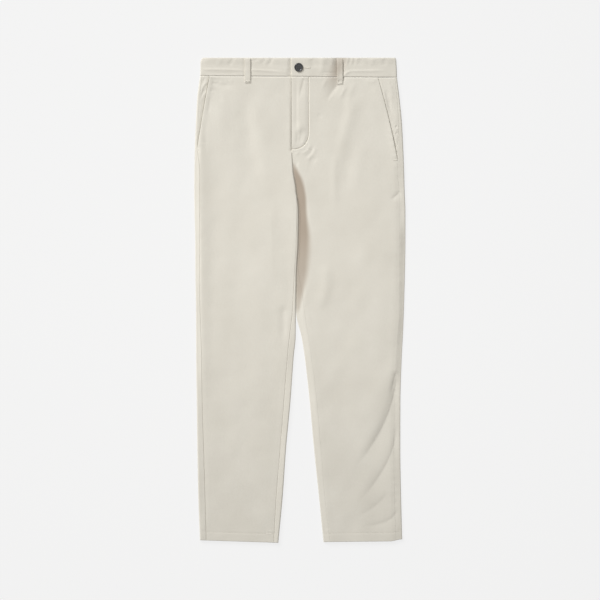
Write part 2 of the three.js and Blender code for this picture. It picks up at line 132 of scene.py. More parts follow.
def column_at(table, column, down):
    """A curve through a column's rows that never overshoots them: a cubic in each step, whose
    slope at a row is the harmonic mean of the rises on its two sides, or 0 where they turn."""
    x, y = table[:, 0], table[:, column]
    rise = np.diff(y) / np.diff(x)
    slope = np.zeros(len(x))
    same = rise[:-1] * rise[1:] > 0
    total = np.where(same, rise[:-1] + rise[1:], 1.0)
    slope[1:-1] = np.where(same, 2 * rise[:-1] * rise[1:] / total, 0.0)
    slope[0], slope[-1] = rise[0], rise[-1]
    d = np.clip(down, x[0], x[-1])
    i = np.clip(np.searchsorted(x, d, side="right") - 1, 0, len(x) - 2)
    span = x[i + 1] - x[i]
    t = (d - x[i]) / span
    bend = span * t * (1 - t) * ((1 - t) * slope[i] - t * slope[i + 1])
    return lerp(y[i], y[i + 1], t * t * (3 - 2 * t)) + bend


def section(side, down):
    """Every column at the distances down, by name. Both sides share the centre front."""
    found = {}
    for k, name in enumerate(COLUMNS):
        found[name] = column_at(side["legs"], k, down)
        if name in ("inseam", "inner"):
            centre = column_at(RIGHT_LEG, k, down)
            found[name] = np.where(down <= CROTCH_DOWN, centre, found[name])
    return found


for side in SIDES.values():
    knee = section(side, np.array([740.0]))
    across = abs(float(knee["outer"][0] - knee["inner"][0]))
    print(side["name"], "leg below the knee", round(across, 1), "mm")

# %% [markdown]
# Folds and creases. A press or a hand leaves long soft ridges and troughs, and the cloth below
# the left knee has slid so that four folds run from the side seam to the shin. Each is a row
# here: a curve through three points, how wide the ridge is on either side, and how high it
# stands (below 0 it is a trough). The height falls off as a bell curve of the distance from
# the curve and fades at both ends. A fold that cloth has been pressed or dragged into has an
# edge along it instead; those rows are in the table CREASES, and one side of them is usually
# steep and the other long. The rows are as uneven as the real ones.

# %% Folds listed row by row
# from x, from down, middle x, middle down, to x, to down, width before, width after, high
LEG_FOLDS = np.array([
    (197, 630, 172, 770, 108, 872, 24, 12, 0.9),
    (121, 48, 108, 78, 99, 118, 6, 6, 0.5),
    (58, 44, 52, 56, 46, 66, 3.5, 3.5, 0.5),
    (98, 60, 92, 74, 84, 88, 2.6, 3.2, 0.7),
    (74, 66, 68, 82, 58, 96, 2.6, 3.2, 0.5),
    (119, 75, 100, 149, 76, 246, 12, 15, 1.5),
    (142, 167, 126, 235, 122, 310, 14, 14, 0.7),
    (101, 205, 99, 245, 99, 300, 12, 12, -0.5),
    (49, 441, 56, 494, 33, 553, 14, 12, 1.3),
    (-217, 120, -216.5, 325, -215, 530, 20, 20, 3.3),
    (-215, 390, -211, 590, -206, 800, 18, 16, 2.0),
    (-170, 60, -170, 140, -164, 230, 18, 18, 1.1),
    (-124, 70, -110, 190, -84, 310, 24, 15, -1.2),
    (-181, 52, -166, 61, -137, 57, 5, 6, -0.75),
    (-186, 72, -174, 82, -169, 102, 5, 5, -0.6),
    (-150, 47, -148, 54, -150, 64, 4, 4, 0.35),
    (-170, 47, -168, 53, -170, 58, 3.5, 3.5, 0.3),
    (-101, 75, -80, 190, -62, 305, 15, 28, 1.1),
    (75, 205, 74, 270, 77, 335, 8, 8, 0.7),
    (-36, 530, -36, 570, -37, 620, 8, 8, -1.2),
    (-222, 264, -215, 264, -207, 265, 2.2, 2.2, -0.45),
    (-222, 312, -215, 311, -206, 312, 2.2, 2.2, -0.45),
    (-5, 341, 1, 342, 9, 344, 1.6, 1.6, -0.5),
    (-73, 1019, -66, 1019, -57, 1019.5, 1.3, 1.3, 0.4),
    (-73, 1023.5, -66, 1023.5, -57, 1024, 1.3, 1.3, 0.4),
    (54, 1017, 62, 1017.5, 71, 1018, 1.4, 1.4, 0.5),
    (54, 1021, 62, 1021.5, 71, 1022, 1.4, 1.4, 0.4),
    (-218, 1010, -210, 1010, -203, 1010.5, 1.3, 1.3, 0.4),
    (-218, 1016, -210, 1016.5, -203, 1017, 1.3, 1.3, 0.4),
    (206, 1014, 212, 1014, 219, 1014, 1.3, 1.3, 0.4),
    (206, 1019.5, 212, 1019.5, 219, 1019.5, 1.3, 1.3, 0.4),
], float)
FLY_FOLDS = np.array([
    (-7.5, 40, -8, 120, -7.5, 200, 3.8, 3.2, -0.6),
    (-22, 153, -6, 152, 12, 149, 27, 12, 1.5),
    (12.5, 160, 9.7, 176, 1, 189, 2.2, 2.2, 0.6),
    (0, 205, 16, 199, 24, 176, 2.4, 2.4, 0.55),
    (6, 213, 22, 205, 30, 182, 2.2, 2.2, -0.5),
    (12, 219, 27, 209, 35, 188, 3.0, 3.0, 0.5),
    (-16, 213, -8, 207, 1, 202, 2.4, 2.4, 0.5),
    (37, 123, 43, 125, 49, 127, 2.6, 2.6, -0.6),
], float)
POCKET_FOLDS = np.array([
    (-198, 50, -176, 50, -154, 52, 4.0, 5.0, -0.5),
    (-190, 54, -184, 57, -176, 58, 2.6, 2.6, -1.0),
    (-193, 69, -187, 72, -180, 73, 2.6, 2.8, -0.9),
    (-192, 82, -195, 104, -198, 128, 3.5, 4.0, -0.45),
    (-202, 130, -203, 172, -203, 220, 5.0, 6.0, -0.5),
    (-218, 183, -208, 182.5, -197, 183, 1.3, 1.3, -0.35),
    (140, 48, 153, 50, 166, 49, 4.0, 4.0, 0.45),
    (150, 62, 172, 90, 183, 128, 8.0, 8.0, 0.5),
], float)
FRONT_FOLDS = np.concatenate([LEG_FOLDS, FLY_FOLDS, POCKET_FOLDS])
CREASES = np.array([
    (208, 668, 184, 780, 110, 892, 12, 36, -2.9),
    (-58, 305, -61, 400, -56, 505, 34, 30, 1.3),
    (101, 24, 80, 58, 55, 98, 14, 6, -3.0),
    (-222, 388, -212, 389, -204, 391, 3, 6, -0.5),
    (-6, 156, -6, 174, -11, 193, 4, 10, -1.1),
    (3, 150, 2, 170, -4, 191, 4, 8, -1.1),
    (206, 784, 187, 872, 114, 968, 8, 30, -1.7),
    (190, 934, 160, 966, 114, 992, 7, 18, -0.8),
    (210, 974, 184, 999, 128, 1009, 4, 12, -0.9),
    (208, 672, 201, 698, 194, 730, 3, 6, -0.9),
    (216, 288, 207, 296, 193, 308, 3, 6, -1.6),
    (10, 40, 5, 60, -3, 90, 2.4, 9, -1.2),
    (-14, 222, -8, 225, -2, 228, 14, 2.2, -0.9),
    (22, 214, 29.7, 217, 38, 221, 12, 2.2, -0.7),
], float)
FOLD_STEPS = 10


def beside_path(px, pd, x, down):
    """For each point the nearest place on a path of short straight pieces: how far away it is,
    how far the point lies to the right of the path's direction, and how far along, 0 to 1."""
    best = np.full(x.shape, np.inf)
    across = np.zeros(x.shape)
    along = np.zeros(x.shape)
    for a in range(len(px) - 1):
        sx, sd = px[a + 1] - px[a], pd[a + 1] - pd[a]
        length = math.hypot(sx, sd)
        u = np.clip(((x - px[a]) * sx + (down - pd[a]) * sd) / length**2, 0, 1)
        ox, od = x - px[a] - u * sx, down - pd[a] - u * sd
        distance = np.hypot(ox, od)
        closer = distance < best
        best = np.where(closer, distance, best)
        across = np.where(closer, (ox * sd - od * sx) / length, across)
        along = np.where(closer, (a + u) / (len(px) - 1), along)
    return best, across, along


def fold_relief(folds, x, down, power=2):
    """The sum of the folds' heights at each point: for the nearest place on a fold's parabola,
    its height times exp(-(distance / width) to the power), with the ends faded by a soft step.
    With the power 1 it is a crease, which comes to an edge along its path."""
    relief = np.zeros(np.broadcast(x, down).shape)
    t = np.linspace(0, 1, FOLD_STEPS + 1)
    for row in folds:
        middle = 4 * t * (1 - t)
        first, last = (1 - t) * (1 - 2 * t), t * (2 * t - 1)
        px = first * row[0] + middle * row[2] + last * row[4]
        pd = first * row[1] + middle * row[3] + last * row[5]
        reach = 6 / power * max(row[6], row[7])
        near = (x > px.min() - reach) & (x < px.max() + reach)
        near &= (down > pd.min() - reach) & (down < pd.max() + reach)
        if not near.any():
            continue
        best, across, along = beside_path(px, pd, x[near], down[near])
        width = lerp(row[6], row[7], ease(across / 6 + 0.5))
        ends = ease(along / 0.25) * ease((1 - along) / 0.35)
        relief[near] += row[8] * ends * np.exp(-((best / width) ** power))
    return relief


# %% [markdown]
# Cloth that has been worn or washed is never flat between its folds. A sum of a few dozen long
# waves of random direction, chosen once with a fixed seed, gives every piece the same quiet
# unevenness, and it runs on over the seams because it only depends on the place.

# %% Quiet unevenness
WAVES = 26
WAVE_SHORT, WAVE_LONG = 34.0, 150.0
WAVE_HIGH = 0.12
rng = np.random.default_rng(7)
wave_length = np.exp(rng.uniform(math.log(WAVE_SHORT), math.log(WAVE_LONG), WAVES))
wave_turn = rng.normal(0.0, 0.7, WAVES)
wave_phase = rng.uniform(0, 2 * math.pi, WAVES)


def unevenness(x, down):
    """Sum of sine waves: high * (length / longest) * sin(2 pi * distance along / length)."""
    total = np.zeros(np.broadcast(x, down).shape)
    for length, turn, phase in zip(wave_length, wave_turn, wave_phase):
        along = x * math.cos(turn) + down * math.sin(turn)
        total += length / WAVE_LONG * np.sin(2 * math.pi * along / length + phase)
    return WAVE_HIGH * total


# %% [markdown]
# The fly and the crotch. The left front laps over the right and is lifted by the layers behind
# it, as far as the J-shaped stitch line. Under the fly the left leg's cloth falls away beside
# the right leg, and that hollow is the darkest place of the whole garment. Its shade is painted
# shade in the cloth's colour; it ends crisply near the crotch and softly further down, so it has
# a table of its own: where it is half gone, over what width it goes, and how deep it is. A second,
# smaller painted shade lies in the pinch beside the left belt loop. Then come the sizes of the
# seams and edges.

# %% Fly, hollow and seams
# HOLLOW_PAINTED_SHADE: the painted shade in the crotch hollow, by rows: down, half gone at x,
# width, deep
LAP_X = -18.1
FLY_WIDTH = 36.9
FLY_LIFT = 0.9
FLY_STRAIGHT = 160.0
FLY_BOTTOM = 197.0
FLY_CORNER = 0.85
FLY_BLEND, FLY_BLEND_LOW = 9.0, 12.0
J_WIDE, J_GROOVE, J_GROOVE_LOW = 0.85, 0.95, 1.3
J_PUFF, J_PUFF_WIDE = 0.45, 8.0
HOLLOW_PAINTED_SHADE = np.array([
    (222, -16.0, 8.0, 0.0),
    (230, -11.0, 8.0, 0.5),
    (245, -3.9, 10.7, 0.95),
    (262, 4.3, 10.7, 1.0),
    (284, 10.3, 8.6, 1.0),
    (305, 13.1, 8.6, 1.0),
    (327, 13.8, 8.6, 1.0),
    (348, 15.7, 10.7, 1.0),
    (370, 18.9, 15.0, 1.0),
    (391, 20.4, 17.0, 0.95),
    (413, 20.2, 19.0, 0.9),
    (434, 18.7, 19.0, 0.85),
    (456, 16.6, 17.0, 0.8),
    (477, 13.5, 17.0, 0.75),
    (499, 7.7, 11.0, 0.75),
    (520, 3.4, 8.6, 0.6),
    (537, 0.0, 7.5, 0.5),
    (552, -3.0, 7.5, 0.0),
], float)
LEG_SEAM_RADIUS, LEG_SEAM_DEPTH, FACING_SEAM_DEPTH = 1.3, 0.75, 0.25
WAIST_SEAM_RADIUS, WAIST_SEAM_DEPTH = 2.4, 2.4
EDGE_RADIUS, EDGE_DEPTH = 1.1, 1.0
ALLOWANCE_WIDE, ALLOWANCE_HIGH = 10.0, 0.10
OUTSEAM_PITCH, OUTSEAM_RIPPLE = 19.0, {"right": 0.08, "left": 0.16}
INSEAM_PITCH, INSEAM_RIPPLE = 11.0, 0.06
# painted shade: its share right beside the right leg and the width over which it grows, then the
# place, slant, width, length and strength of the painted shade in the pinch
HOLLOW_AT_EDGE, HOLLOW_EDGE_WIDE = 0.7, 4.0
PINCH_X, PINCH_DOWN, PINCH_SLANT = 81.0, 22.0, 0.32
PINCH_WIDE, PINCH_LONG, PINCH_PAINTED_SHADE = 15.0, 36.0, 0.68


def fly_path(count):
    """The J: straight down at the fly's width, then a squarish quarter of an ellipse in to the
    lap, with the cosine and the sine to the power FLY_CORNER."""
    straight = np.linspace(BAND_DEPTH, FLY_STRAIGHT, count)[:-1]
    turn = np.linspace(0, math.pi / 2, count)
    x = LAP_X + FLY_WIDTH * np.cos(turn).clip(0) ** FLY_CORNER
    down = FLY_STRAIGHT + (FLY_BOTTOM - FLY_STRAIGHT) * np.sin(turn) ** FLY_CORNER
    return np.append(np.full(count - 1, LAP_X + FLY_WIDTH), x), np.append(straight, down)


def fly_reach(down):
    """How far across the J is at the distances down, from a fine copy of its path."""
    x, at = fly_path(120)
    return np.interp(down, at, x)


def fly_relief(x, down):
    """Inside the J the layers behind lift the cloth, falling off more slowly at the bottom; the
    stitches draw a groove, depth * exp(-(distance / width) squared); and outside it the cloth
    puffs up again and settles as exp(-distance / width)."""
    relief = np.zeros(x.shape)
    near = (x < LAP_X + FLY_WIDTH + 40) & (down < FLY_BOTTOM + 40)
    best, across, _ = beside_path(*fly_path(18), x[near], down[near])
    side = np.where(across < 0, -best, best)
    blend = lerp(FLY_BLEND, FLY_BLEND_LOW, ease((down[near] - 140) / 40))
    lift = FLY_LIFT * ease(-side / blend)
    puff = J_PUFF * ease(side / 2.0) * np.exp(-side.clip(0) / J_PUFF_WIDE)
    deep = lerp(J_GROOVE, J_GROOVE_LOW, ease((down[near] - 120) / 40))
    relief[near] = lift + puff - deep * np.exp(-((side / J_WIDE) ** 2))
    return relief


def painted_hollow_shade(x, down):
    """Painted shade, 0 on open cloth, up to 1 in the hollow: a soft step over the shade's own
    width, weaker right beside the right leg, which throws its own shadow there. Cloth is also
    gathered deeply round the left belt loop, with a painted shade there that is a bell curve both
    ways."""
    middle, width, deep = (column_at(HOLLOW_PAINTED_SHADE, k, down) for k in (1, 2, 3))
    within = (down > HOLLOW_PAINTED_SHADE[0, 0]) & (down < HOLLOW_PAINTED_SHADE[-1, 0])
    edge = column_at(RIGHT_LEG, COLUMNS.index("inner"), down)
    within = within * lerp(HOLLOW_AT_EDGE, 1, ease((x - edge) / HOLLOW_EDGE_WIDE))
    along = (down - PINCH_DOWN) / PINCH_LONG
    across = (x - PINCH_X + PINCH_SLANT * (down - PINCH_DOWN)) / PINCH_WIDE
    return (within * deep * ease((middle + width / 2 - x) / width)
            + PINCH_PAINTED_SHADE * np.exp(-(across**2) - along**2))


def rolled(distance, radius, depth):
    """A rounded edge: a quarter of an ellipse, depth down at the edge, level from radius on."""
    t = 1 - np.clip(distance / radius, 0, 1)
    return depth * (1 - np.sqrt(1 - t * t))


def seam_relief(distance, down, pitch, ripple):
    """Beside a pressed-open seam: a low step over the allowance, and ripples that the thread
    has drawn in, uneven * exp(-distance / 6) * sin(2 pi * down / pitch) with a wandering phase."""
    step = ALLOWANCE_HIGH * (1 - ease((distance - ALLOWANCE_WIDE + 2) / 4))
    uneven = 0.55 + 0.45 * np.sin(down / 37.0 + 2.0)
    wave = np.sin(2 * math.pi * down / pitch + 1.3 * np.sin(down / 29.0))
    return step + ripple * uneven * np.exp(-distance / 6) * wave


def front_height(side, s, x, down):
    """Height of the upper cloth: the crown, less the way down to each folded edge, plus the
    folds, the unevenness, the seams and the fly's lift."""
    from_outer = np.abs(x - s["outer"])
    from_inner = np.abs(x - s["inner"])
    outer_drop = (s["crown"] - s["outer_high"]) * (1 - ease(from_outer / OUTER_ROLL))
    inner_drop = (s["crown"] - s["inner_high"]) * (1 - ease(from_inner / s["inner_roll"]))
    inside = ease(from_outer / EDGE_FADE) * ease(from_inner / EDGE_FADE)
    height = s["crown"] - outer_drop - inner_drop
    folds = fold_relief(FRONT_FOLDS, x, down) + fold_relief(CREASES, x, down, 1)
    height = height + inside * (folds + unevenness(x, down))
    out_seam = np.abs(x - s["outseam"])
    in_seam = np.abs(x - s["inseam"])
    beyond_pocket = ease((down - side["pocket_end"] - 4) / 10)
    below_crotch = ease((down - CROTCH_DOWN - 40) / 20)
    ripple = OUTSEAM_RIPPLE[side["name"]]
    height = height + beyond_pocket * seam_relief(out_seam, down, OUTSEAM_PITCH, ripple)
    height = height + below_crotch * seam_relief(in_seam, down, INSEAM_PITCH, INSEAM_RIPPLE)
    if side["name"] == "left":
        height = height + fly_relief(*np.broadcast_arrays(x, down))
    return height


# %% [markdown]
# From the table's flat places to the garment: the waist seam and the hems lean a little across
# the pair, and the same small lean has to move every piece, or the seams would part. One
# function turns (x, down, height) in millimetres into points in metres.

# %% Placing points
WAIST_LEAN = 0.0085
WAIST_LEAN_FADE = 160.0
HEM_LEAN_START = 900.0
HEM_CORNER = 0.16


def lean(side, x, down):
    """How far below its table row a point really lies: a slope across at the waist seam, and
    at the hem the line between the hem's two ends, each faded over its stretch. The outer
    corner of a hem can be lifted."""
    fading = 1 - ease((down - BAND_DEPTH) / WAIST_LEAN_FADE)
    waist = WAIST_LEAN * x * np.where(down < BAND_DEPTH, down / BAND_DEPTH, fading)
    end = section(side, np.array(LENGTH))
    across = np.clip((x - end["outer"]) / (end["inner"] - end["outer"]), 0, 1)
    corner = side["hem_lift"] * (1 - ease(across / HEM_CORNER))
    hem = lerp(side["hem"][0], side["hem"][1], across) - corner - LENGTH
    return waist + hem * ease((down - HEM_LEAN_START) / (LENGTH - HEM_LEAN_START))


def place(side, x, down, z):
    """Points in metres, with the last axis holding x, y and z."""
    x, down, z = np.broadcast_arrays(x, down, z)
    y = WAIST_TOP_Y - down - lean(side, x, down)
    return np.stack([x, y, z], axis=-1) * MM


# %% [markdown]
# A piece of cloth is a closed wall: the upper face, the lower face and the cut edge between
# them. Both faces are grids of points with the same rows and columns, so the quads can be
# written for all rows at once. The UV map holds real millimetres along and across the cloth,
# and the weave reads it, so that threads keep their size and follow the cloth round a fold.

# %% Cloth from two grids
SHARP_ANGLE = math.radians(50)
LEAST_WALL = 0.5


def grid_quads(rows, columns, start):
    """The quads of a grid whose points are numbered row by row from start."""
    corner = start + np.arange(rows - 1)[:, None] * columns + np.arange(columns - 1)
    quads = np.stack([corner, corner + 1, corner + columns + 1, corner + columns], axis=-1)
    return quads.reshape(-1, 4)


def mesh_object(name, points, quads, uv, material):
    """A mesh object at the origin from points in metres, quads and a UV for each point."""
    a, b, c, d = (points[quads[:, k]] for k in range(4))
    volume = np.einsum("ij,ij->i", a, np.cross(b, c)) + np.einsum("ij,ij->i", a, np.cross(c, d))
    if volume.sum() < 0:
        quads = quads[:, ::-1]
    mesh = bpy.data.meshes.new(name)
    mesh.vertices.add(len(points))
    mesh.vertices.foreach_set("co", points.astype(np.float32).ravel())
    mesh.loops.add(quads.size)
    mesh.loops.foreach_set("vertex_index", quads.astype(np.int32).ravel())
    mesh.polygons.add(len(quads))
    mesh.polygons.foreach_set("loop_start", np.arange(0, quads.size, 4, dtype=np.int32))
    mesh.polygons.foreach_set("loop_total", np.full(len(quads), 4, dtype=np.int32))
    mesh.polygons.foreach_set("use_smooth", np.ones(len(quads), dtype=bool))
    mesh.update(calc_edges=True)
    layer = mesh.uv_layers.new(name="cloth")
    layer.data.foreach_set("uv", uv[quads.ravel()].astype(np.float32).ravel())
    mesh.set_sharp_from_angle(angle=SHARP_ANGLE)
    mesh.materials.append(material)
    mesh.validate()
    piece = bpy.data.objects.new(name, mesh)
    bpy.context.scene.collection.objects.link(piece)
    return piece


def cloth_wall(name, upper, lower, material, painted_shade=None):
    """A closed wall between two grids of points (rows, columns, 3) in metres, with the painted
    shade attribute, when given, on its points."""
    rows, columns = upper.shape[:2]
    count = rows * columns
    face = grid_quads(rows, columns, 0)
    back = grid_quads(rows, columns, count)[:, ::-1]
    numbers = np.arange(count).reshape(rows, columns)
    rim = np.concatenate([numbers[0], numbers[1:, -1], numbers[-1, -2::-1], numbers[-2::-1, 0]])
    edge = np.stack([rim[1:], rim[:-1], rim[:-1] + count, rim[1:] + count], axis=-1)
    steps = np.linalg.norm(np.diff(upper, axis=1), axis=2)
    across = np.concatenate([np.zeros((rows, 1)), np.cumsum(steps, axis=1)], axis=1)
    middle = across[:, columns // 2][:, None]
    uv = np.stack([across - middle, upper[:, :, 1]], axis=-1).reshape(-1, 2)
    points = np.concatenate([upper.reshape(-1, 3), lower.reshape(-1, 3)])
    quads = np.concatenate([face, back, edge])
    piece = mesh_object(name, points, quads, np.concatenate([uv, uv]), material)
    if painted_shade is not None:
        shade = piece.data.attributes.new("painted_shade", "FLOAT", "POINT")
        shade.data.foreach_set("value", np.tile(painted_shade.ravel(), 2).astype(np.float32))
    return piece


def kept_above(z, thick, under):
    """Heights of both faces of a cloth, pressed no lower than what lies under it."""
    lower = np.maximum(z - thick, under)
    return np.maximum(z, lower + LEAST_WALL), lower


def dress(piece, node):
    """Puts a cloth piece in place of its solid: hangs it from the root and hides the solid."""
    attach(piece, "root")
    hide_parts(node)


# %% [markdown]
# Where the rows and columns of a panel lie. A rolled edge is only a millimetre wide, so a few
# rows and columns stand close together at each edge, and the rest are two or three millimetres
# apart, which is enough for a crease. Columns are drawn towards the fly's stitches and the
# pocket, and rows towards the waist seam, the end of the fly and the hem, where detail is fine.

# %% Rows and columns of a panel
EDGE_STEPS = np.array([0.0, 0.3, 0.7, 1.2, 1.9])
EDGE_SPAN = 2.8
ROW_STEP = 2.75
FRONT_COLUMNS = 100


def gathered(first, last, count, places):
    """count values from first to last, closer together near each (middle, width, times): it
    adds times * exp(-((value - middle) / width) squared) to how many there are in a millimetre."""
    fine = np.linspace(first, last, 1000)
    crowd = np.ones(1000)
    for middle, width, times in places:
        crowd += times * np.exp(-(((fine - middle) / width) ** 2))
    total = np.append(0, np.cumsum((crowd[1:] + crowd[:-1]) / 2))
    return np.interp(np.linspace(0, total[-1], count), total, fine)


def fine_rows(start, end, step, places=()):
    """Distances from start to end: close together at both ends and about step apart between."""
    middle = gathered(start + EDGE_SPAN, end - EDGE_SPAN, round((end - start) / step), places)
    return np.concatenate([start + EDGE_STEPS, middle, end - EDGE_STEPS[::-1]])


def fine_columns(first, last, count, places=None):
    """Places across from first to last, row by row: close at both edges, and between them
    gathered near each row's own places."""
    first, last = np.broadcast_arrays(first, last)
    out = np.sign(last - first)[:, None]
    near, far = first[:, None], last[:, None]
    span = out[:, 0] * EDGE_SPAN
    ends = zip(first + span, last - span, places or [()] * len(first))
    middle = np.stack([gathered(a, b, count, crowd) for a, b, crowd in ends])
    return np.concatenate([near + out * EDGE_STEPS, middle, far - out * EDGE_STEPS[::-1]], axis=1)


print("columns across a front", FRONT_COLUMNS + 2 * len(EDGE_STEPS))

# %% [markdown]
# The twill. Chino cloth is a cotton twill: fine diagonal ribs, half a millimetre apart, with a
# matt face and a little nap that lightens it at a glancing angle. Its off-white is never one
# colour: the dye takes unevenly, and handling greys it a little. So the colour is mixed from
# two near shades by a large soft noise and a small one, the ribs are a wave texture on the
# cloth's own UV map, and threads give a fine grain across them. An attribute on each point,
# 0 to 1, says how much painted shade it carries; there the colour is mixed towards a darker,
# warmer colour, a painted shade for the shadow and the cloth-to-cloth light in a hollow.

# %% Cotton twill
TWILL_LIGHT = (0.800, 0.768, 0.690, 1)
TWILL_DARK = (0.760, 0.726, 0.646, 1)
# painted shade: the darker, warmer colour mixed in where the points' attribute marks a shaded
# hollow
TWILL_PAINTED_SHADE = (0.438, 0.368, 0.297, 1)
RIB = 0.0005
WAVE_PERIOD = 2 * math.pi / 20


def node(tree, kind, **values):
    """Adds a shader node and sets the named sockets or properties."""
    made = tree.nodes.new(kind)
    for key, value in values.items():
        if hasattr(made, key):
            setattr(made, key, value)
        else:
            made.inputs[key].default_value = value
    return made


def twill_material():
    """Base colour from two noises, darkened by the painted shade attribute; bump from ribs, threads
    and nap.
    """
    material = bpy.data.materials.new("cotton_twill")
    material.use_nodes = True
    tree = material.node_tree
    shader = tree.nodes["Principled BSDF"]
    shader.inputs["Roughness"].default_value = 0.92
    shader.inputs["Specular IOR Level"].default_value = 0.18
    shader.inputs["Sheen Weight"].default_value = 0.12
    shader.inputs["Sheen Roughness"].default_value = 0.55
    place_at = node(tree, "ShaderNodeTexCoord")
    broad = node(tree, "ShaderNodeTexNoise", Scale=9.0, Detail=3.0, Roughness=0.55)
    small = node(tree, "ShaderNodeTexNoise", Scale=260.0, Detail=4.0, Roughness=0.6)
    tree.links.new(place_at.outputs["Object"], broad.inputs["Vector"])
    tree.links.new(place_at.outputs["Object"], small.inputs["Vector"])
    mixed = node(tree, "ShaderNodeMath", operation="MULTIPLY_ADD")
    mixed.inputs[1].default_value = 0.35
    tree.links.new(small.outputs["Fac"], mixed.inputs[0])
    tree.links.new(broad.outputs["Fac"], mixed.inputs[2])
    spread = node(tree, "ShaderNodeMapRange")
    spread.inputs["From Min"].default_value = 0.5
    spread.inputs["From Max"].default_value = 0.9
    tree.links.new(mixed.outputs[0], spread.inputs["Value"])
    shades = node(tree, "ShaderNodeMix", data_type="RGBA")
    shades.inputs[6].default_value = TWILL_DARK
    shades.inputs[7].default_value = TWILL_LIGHT
    tree.links.new(spread.outputs["Result"], shades.inputs["Factor"])
    # painted shade: the attribute mixes the twill's colour towards the painted shade colour
    painted_shade = node(tree, "ShaderNodeAttribute", attribute_name="painted_shade")
    deep = node(tree, "ShaderNodeMix", data_type="RGBA")
    deep.inputs[7].default_value = TWILL_PAINTED_SHADE
    tree.links.new(painted_shade.outputs["Fac"], deep.inputs["Factor"])
    tree.links.new(shades.outputs[2], deep.inputs[6])
    tree.links.new(deep.outputs[2], shader.inputs["Base Color"])
    turn = node(tree, "ShaderNodeMapping")
    turn.inputs["Rotation"].default_value = (0, 0, math.radians(-32))
    tree.links.new(place_at.outputs["UV"], turn.inputs["Vector"])
    ribs = node(tree, "ShaderNodeTexWave", wave_type="BANDS", bands_direction="X",
                Scale=WAVE_PERIOD / RIB, Distortion=0.6)
    ribs.inputs["Detail Scale"].default_value = 3.0
    tree.links.new(turn.outputs["Vector"], ribs.inputs["Vector"])
    threads = node(tree, "ShaderNodeTexNoise", Scale=2600.0, Detail=2.0)
    tree.links.new(place_at.outputs["UV"], threads.inputs["Vector"])
    relief = node(tree, "ShaderNodeMath", operation="ADD")
    tree.links.new(ribs.outputs["Fac"], relief.inputs[0])
    tree.links.new(threads.outputs["Fac"], relief.inputs[1])
    fine = node(tree, "ShaderNodeBump", Strength=0.35, Distance=0.00008)
    tree.links.new(relief.outputs[0], fine.inputs["Height"])
    nap = node(tree, "ShaderNodeBump", Strength=0.25, Distance=0.0006)
    tree.links.new(small.outputs["Fac"], nap.inputs["Height"])
    tree.links.new(fine.outputs["Normal"], nap.inputs["Normal"])
    tree.links.new(nap.outputs["Normal"], shader.inputs["Normal"])
    return material


twill = twill_material()
print("twill ribs every", RIB * 1000, "mm, wave scale", round(WAVE_PERIOD / RIB))

# %% [markdown]
# Waistband heights. The band is two layers of cloth over interfacing, folded along its top
# edge, and stiffer than the legs. The allowance of the waist seam lies inside it and shows as
# a ridge along the lower half with a shaded strip under it. The left end laps over the right
# one at the button. Beside the belt loops the band is pulled in by their tacks.

# %% Waistband table and surface
BAND_TABLE = np.array([
    (0, -208.6, 205.0),
    (4.5, -212.6, 206.8),
    (11, -214.2, 207.2),
    (26, -214.2, 208.2),
    (41, -214.8, 208.6),
], float)
BAND_OUTER = {"right": 1, "left": 2}
BAND_SIDE_HIGH = 5.2
BAND_HIGH = 6.2
BAND_ROLL = 30.0
BAND_CLOTH = 1.6
LAP_LIFT = 0.8
LAP_BLEND = 22.0
UNDERLAP_END = 17.0
UNDERLAP_STEP = 7.0
UNDERLAP_SINK = 2.1
BAND_TOP_HIGH, BAND_TOP_WIDE = 0.75, 13.0
LOOP_PULL, LOOP_PULL_WIDE = 0.8, 2.6
LOOP_WIDTH = 12.6
LOOPS = {"right": (-112.6, 55.0), "left": (86.0, 57.0)}
# columns as in the tables of folds above
BAND_FOLDS = np.array([
    (-240, 26.5, -160, 26.5, -108, 29, 3.0, 2.0, 0.75),
    (-118, 27, -76, 28, -20, 33, 3.0, 2.0, 0.7),
    (100, 28, 140, 27.5, 190, 26.5, 3.0, 2.0, 0.75),
    (93, 41, 99, 33, 112, 27.5, 2.4, 2.4, 0.9),
    (-28, 25, -25.5, 34, -26, 44, 1.6, 1.6, -0.9),
    (-210, 35, -170, 35, -122, 35, 2.2, 2.2, -0.3),
    (44, 31, 62, 32, 80, 32, 2.2, 2.2, -0.5),
    (40, 37, 58, 37, 78, 37, 1.8, 1.8, -0.4),
    (85, -14, 85, 22, 86, 60, 15.0, 9.0, -3.0),
    (52, -8, 49, 14, 47, 36, 7, 6, 1.0),
    (70, -2, 69, 10, 68, 24, 3, 3, 0.6),
    (100, -4, 98, 6, 95, 19, 2.2, 2.2, -1.0),
    (109, -4, 107, 6, 104, 17, 2.2, 2.2, -1.0),
    (118, -4, 117, 6, 116, 18, 2.2, 2.2, -1.0),
    (24, 2, 27, 12, 30, 24, 6, 5, -0.7),
    (-58, -4, -63, 8, -71, 22, 3.6, 3.6, -0.8),
    (-72, -4, -77, 6, -84, 18, 3.4, 3.4, -0.6),
    (-142, -4, -147, 8, -155, 22, 4.0, 4.0, -0.7),
    (-168, -4, -172, 8, -178, 20, 5.0, 5.0, 0.5),
    (-88, 2, -98, 6, -108, 9, 3.0, 3.0, -0.5),
    (128, 1, 129, 9, 128, 17, 6, 6, -0.6),
    (158, 1, 156, 9, 158, 19, 6, 5, 0.6),
    (181, 2, 182, 9, 180, 18, 5, 5, -0.7),
], float)


def band_outer(side, down):
    """Where the band folds over at the side, with its rounded top corner."""
    return column_at(BAND_TABLE, BAND_OUTER[side["name"]], down)


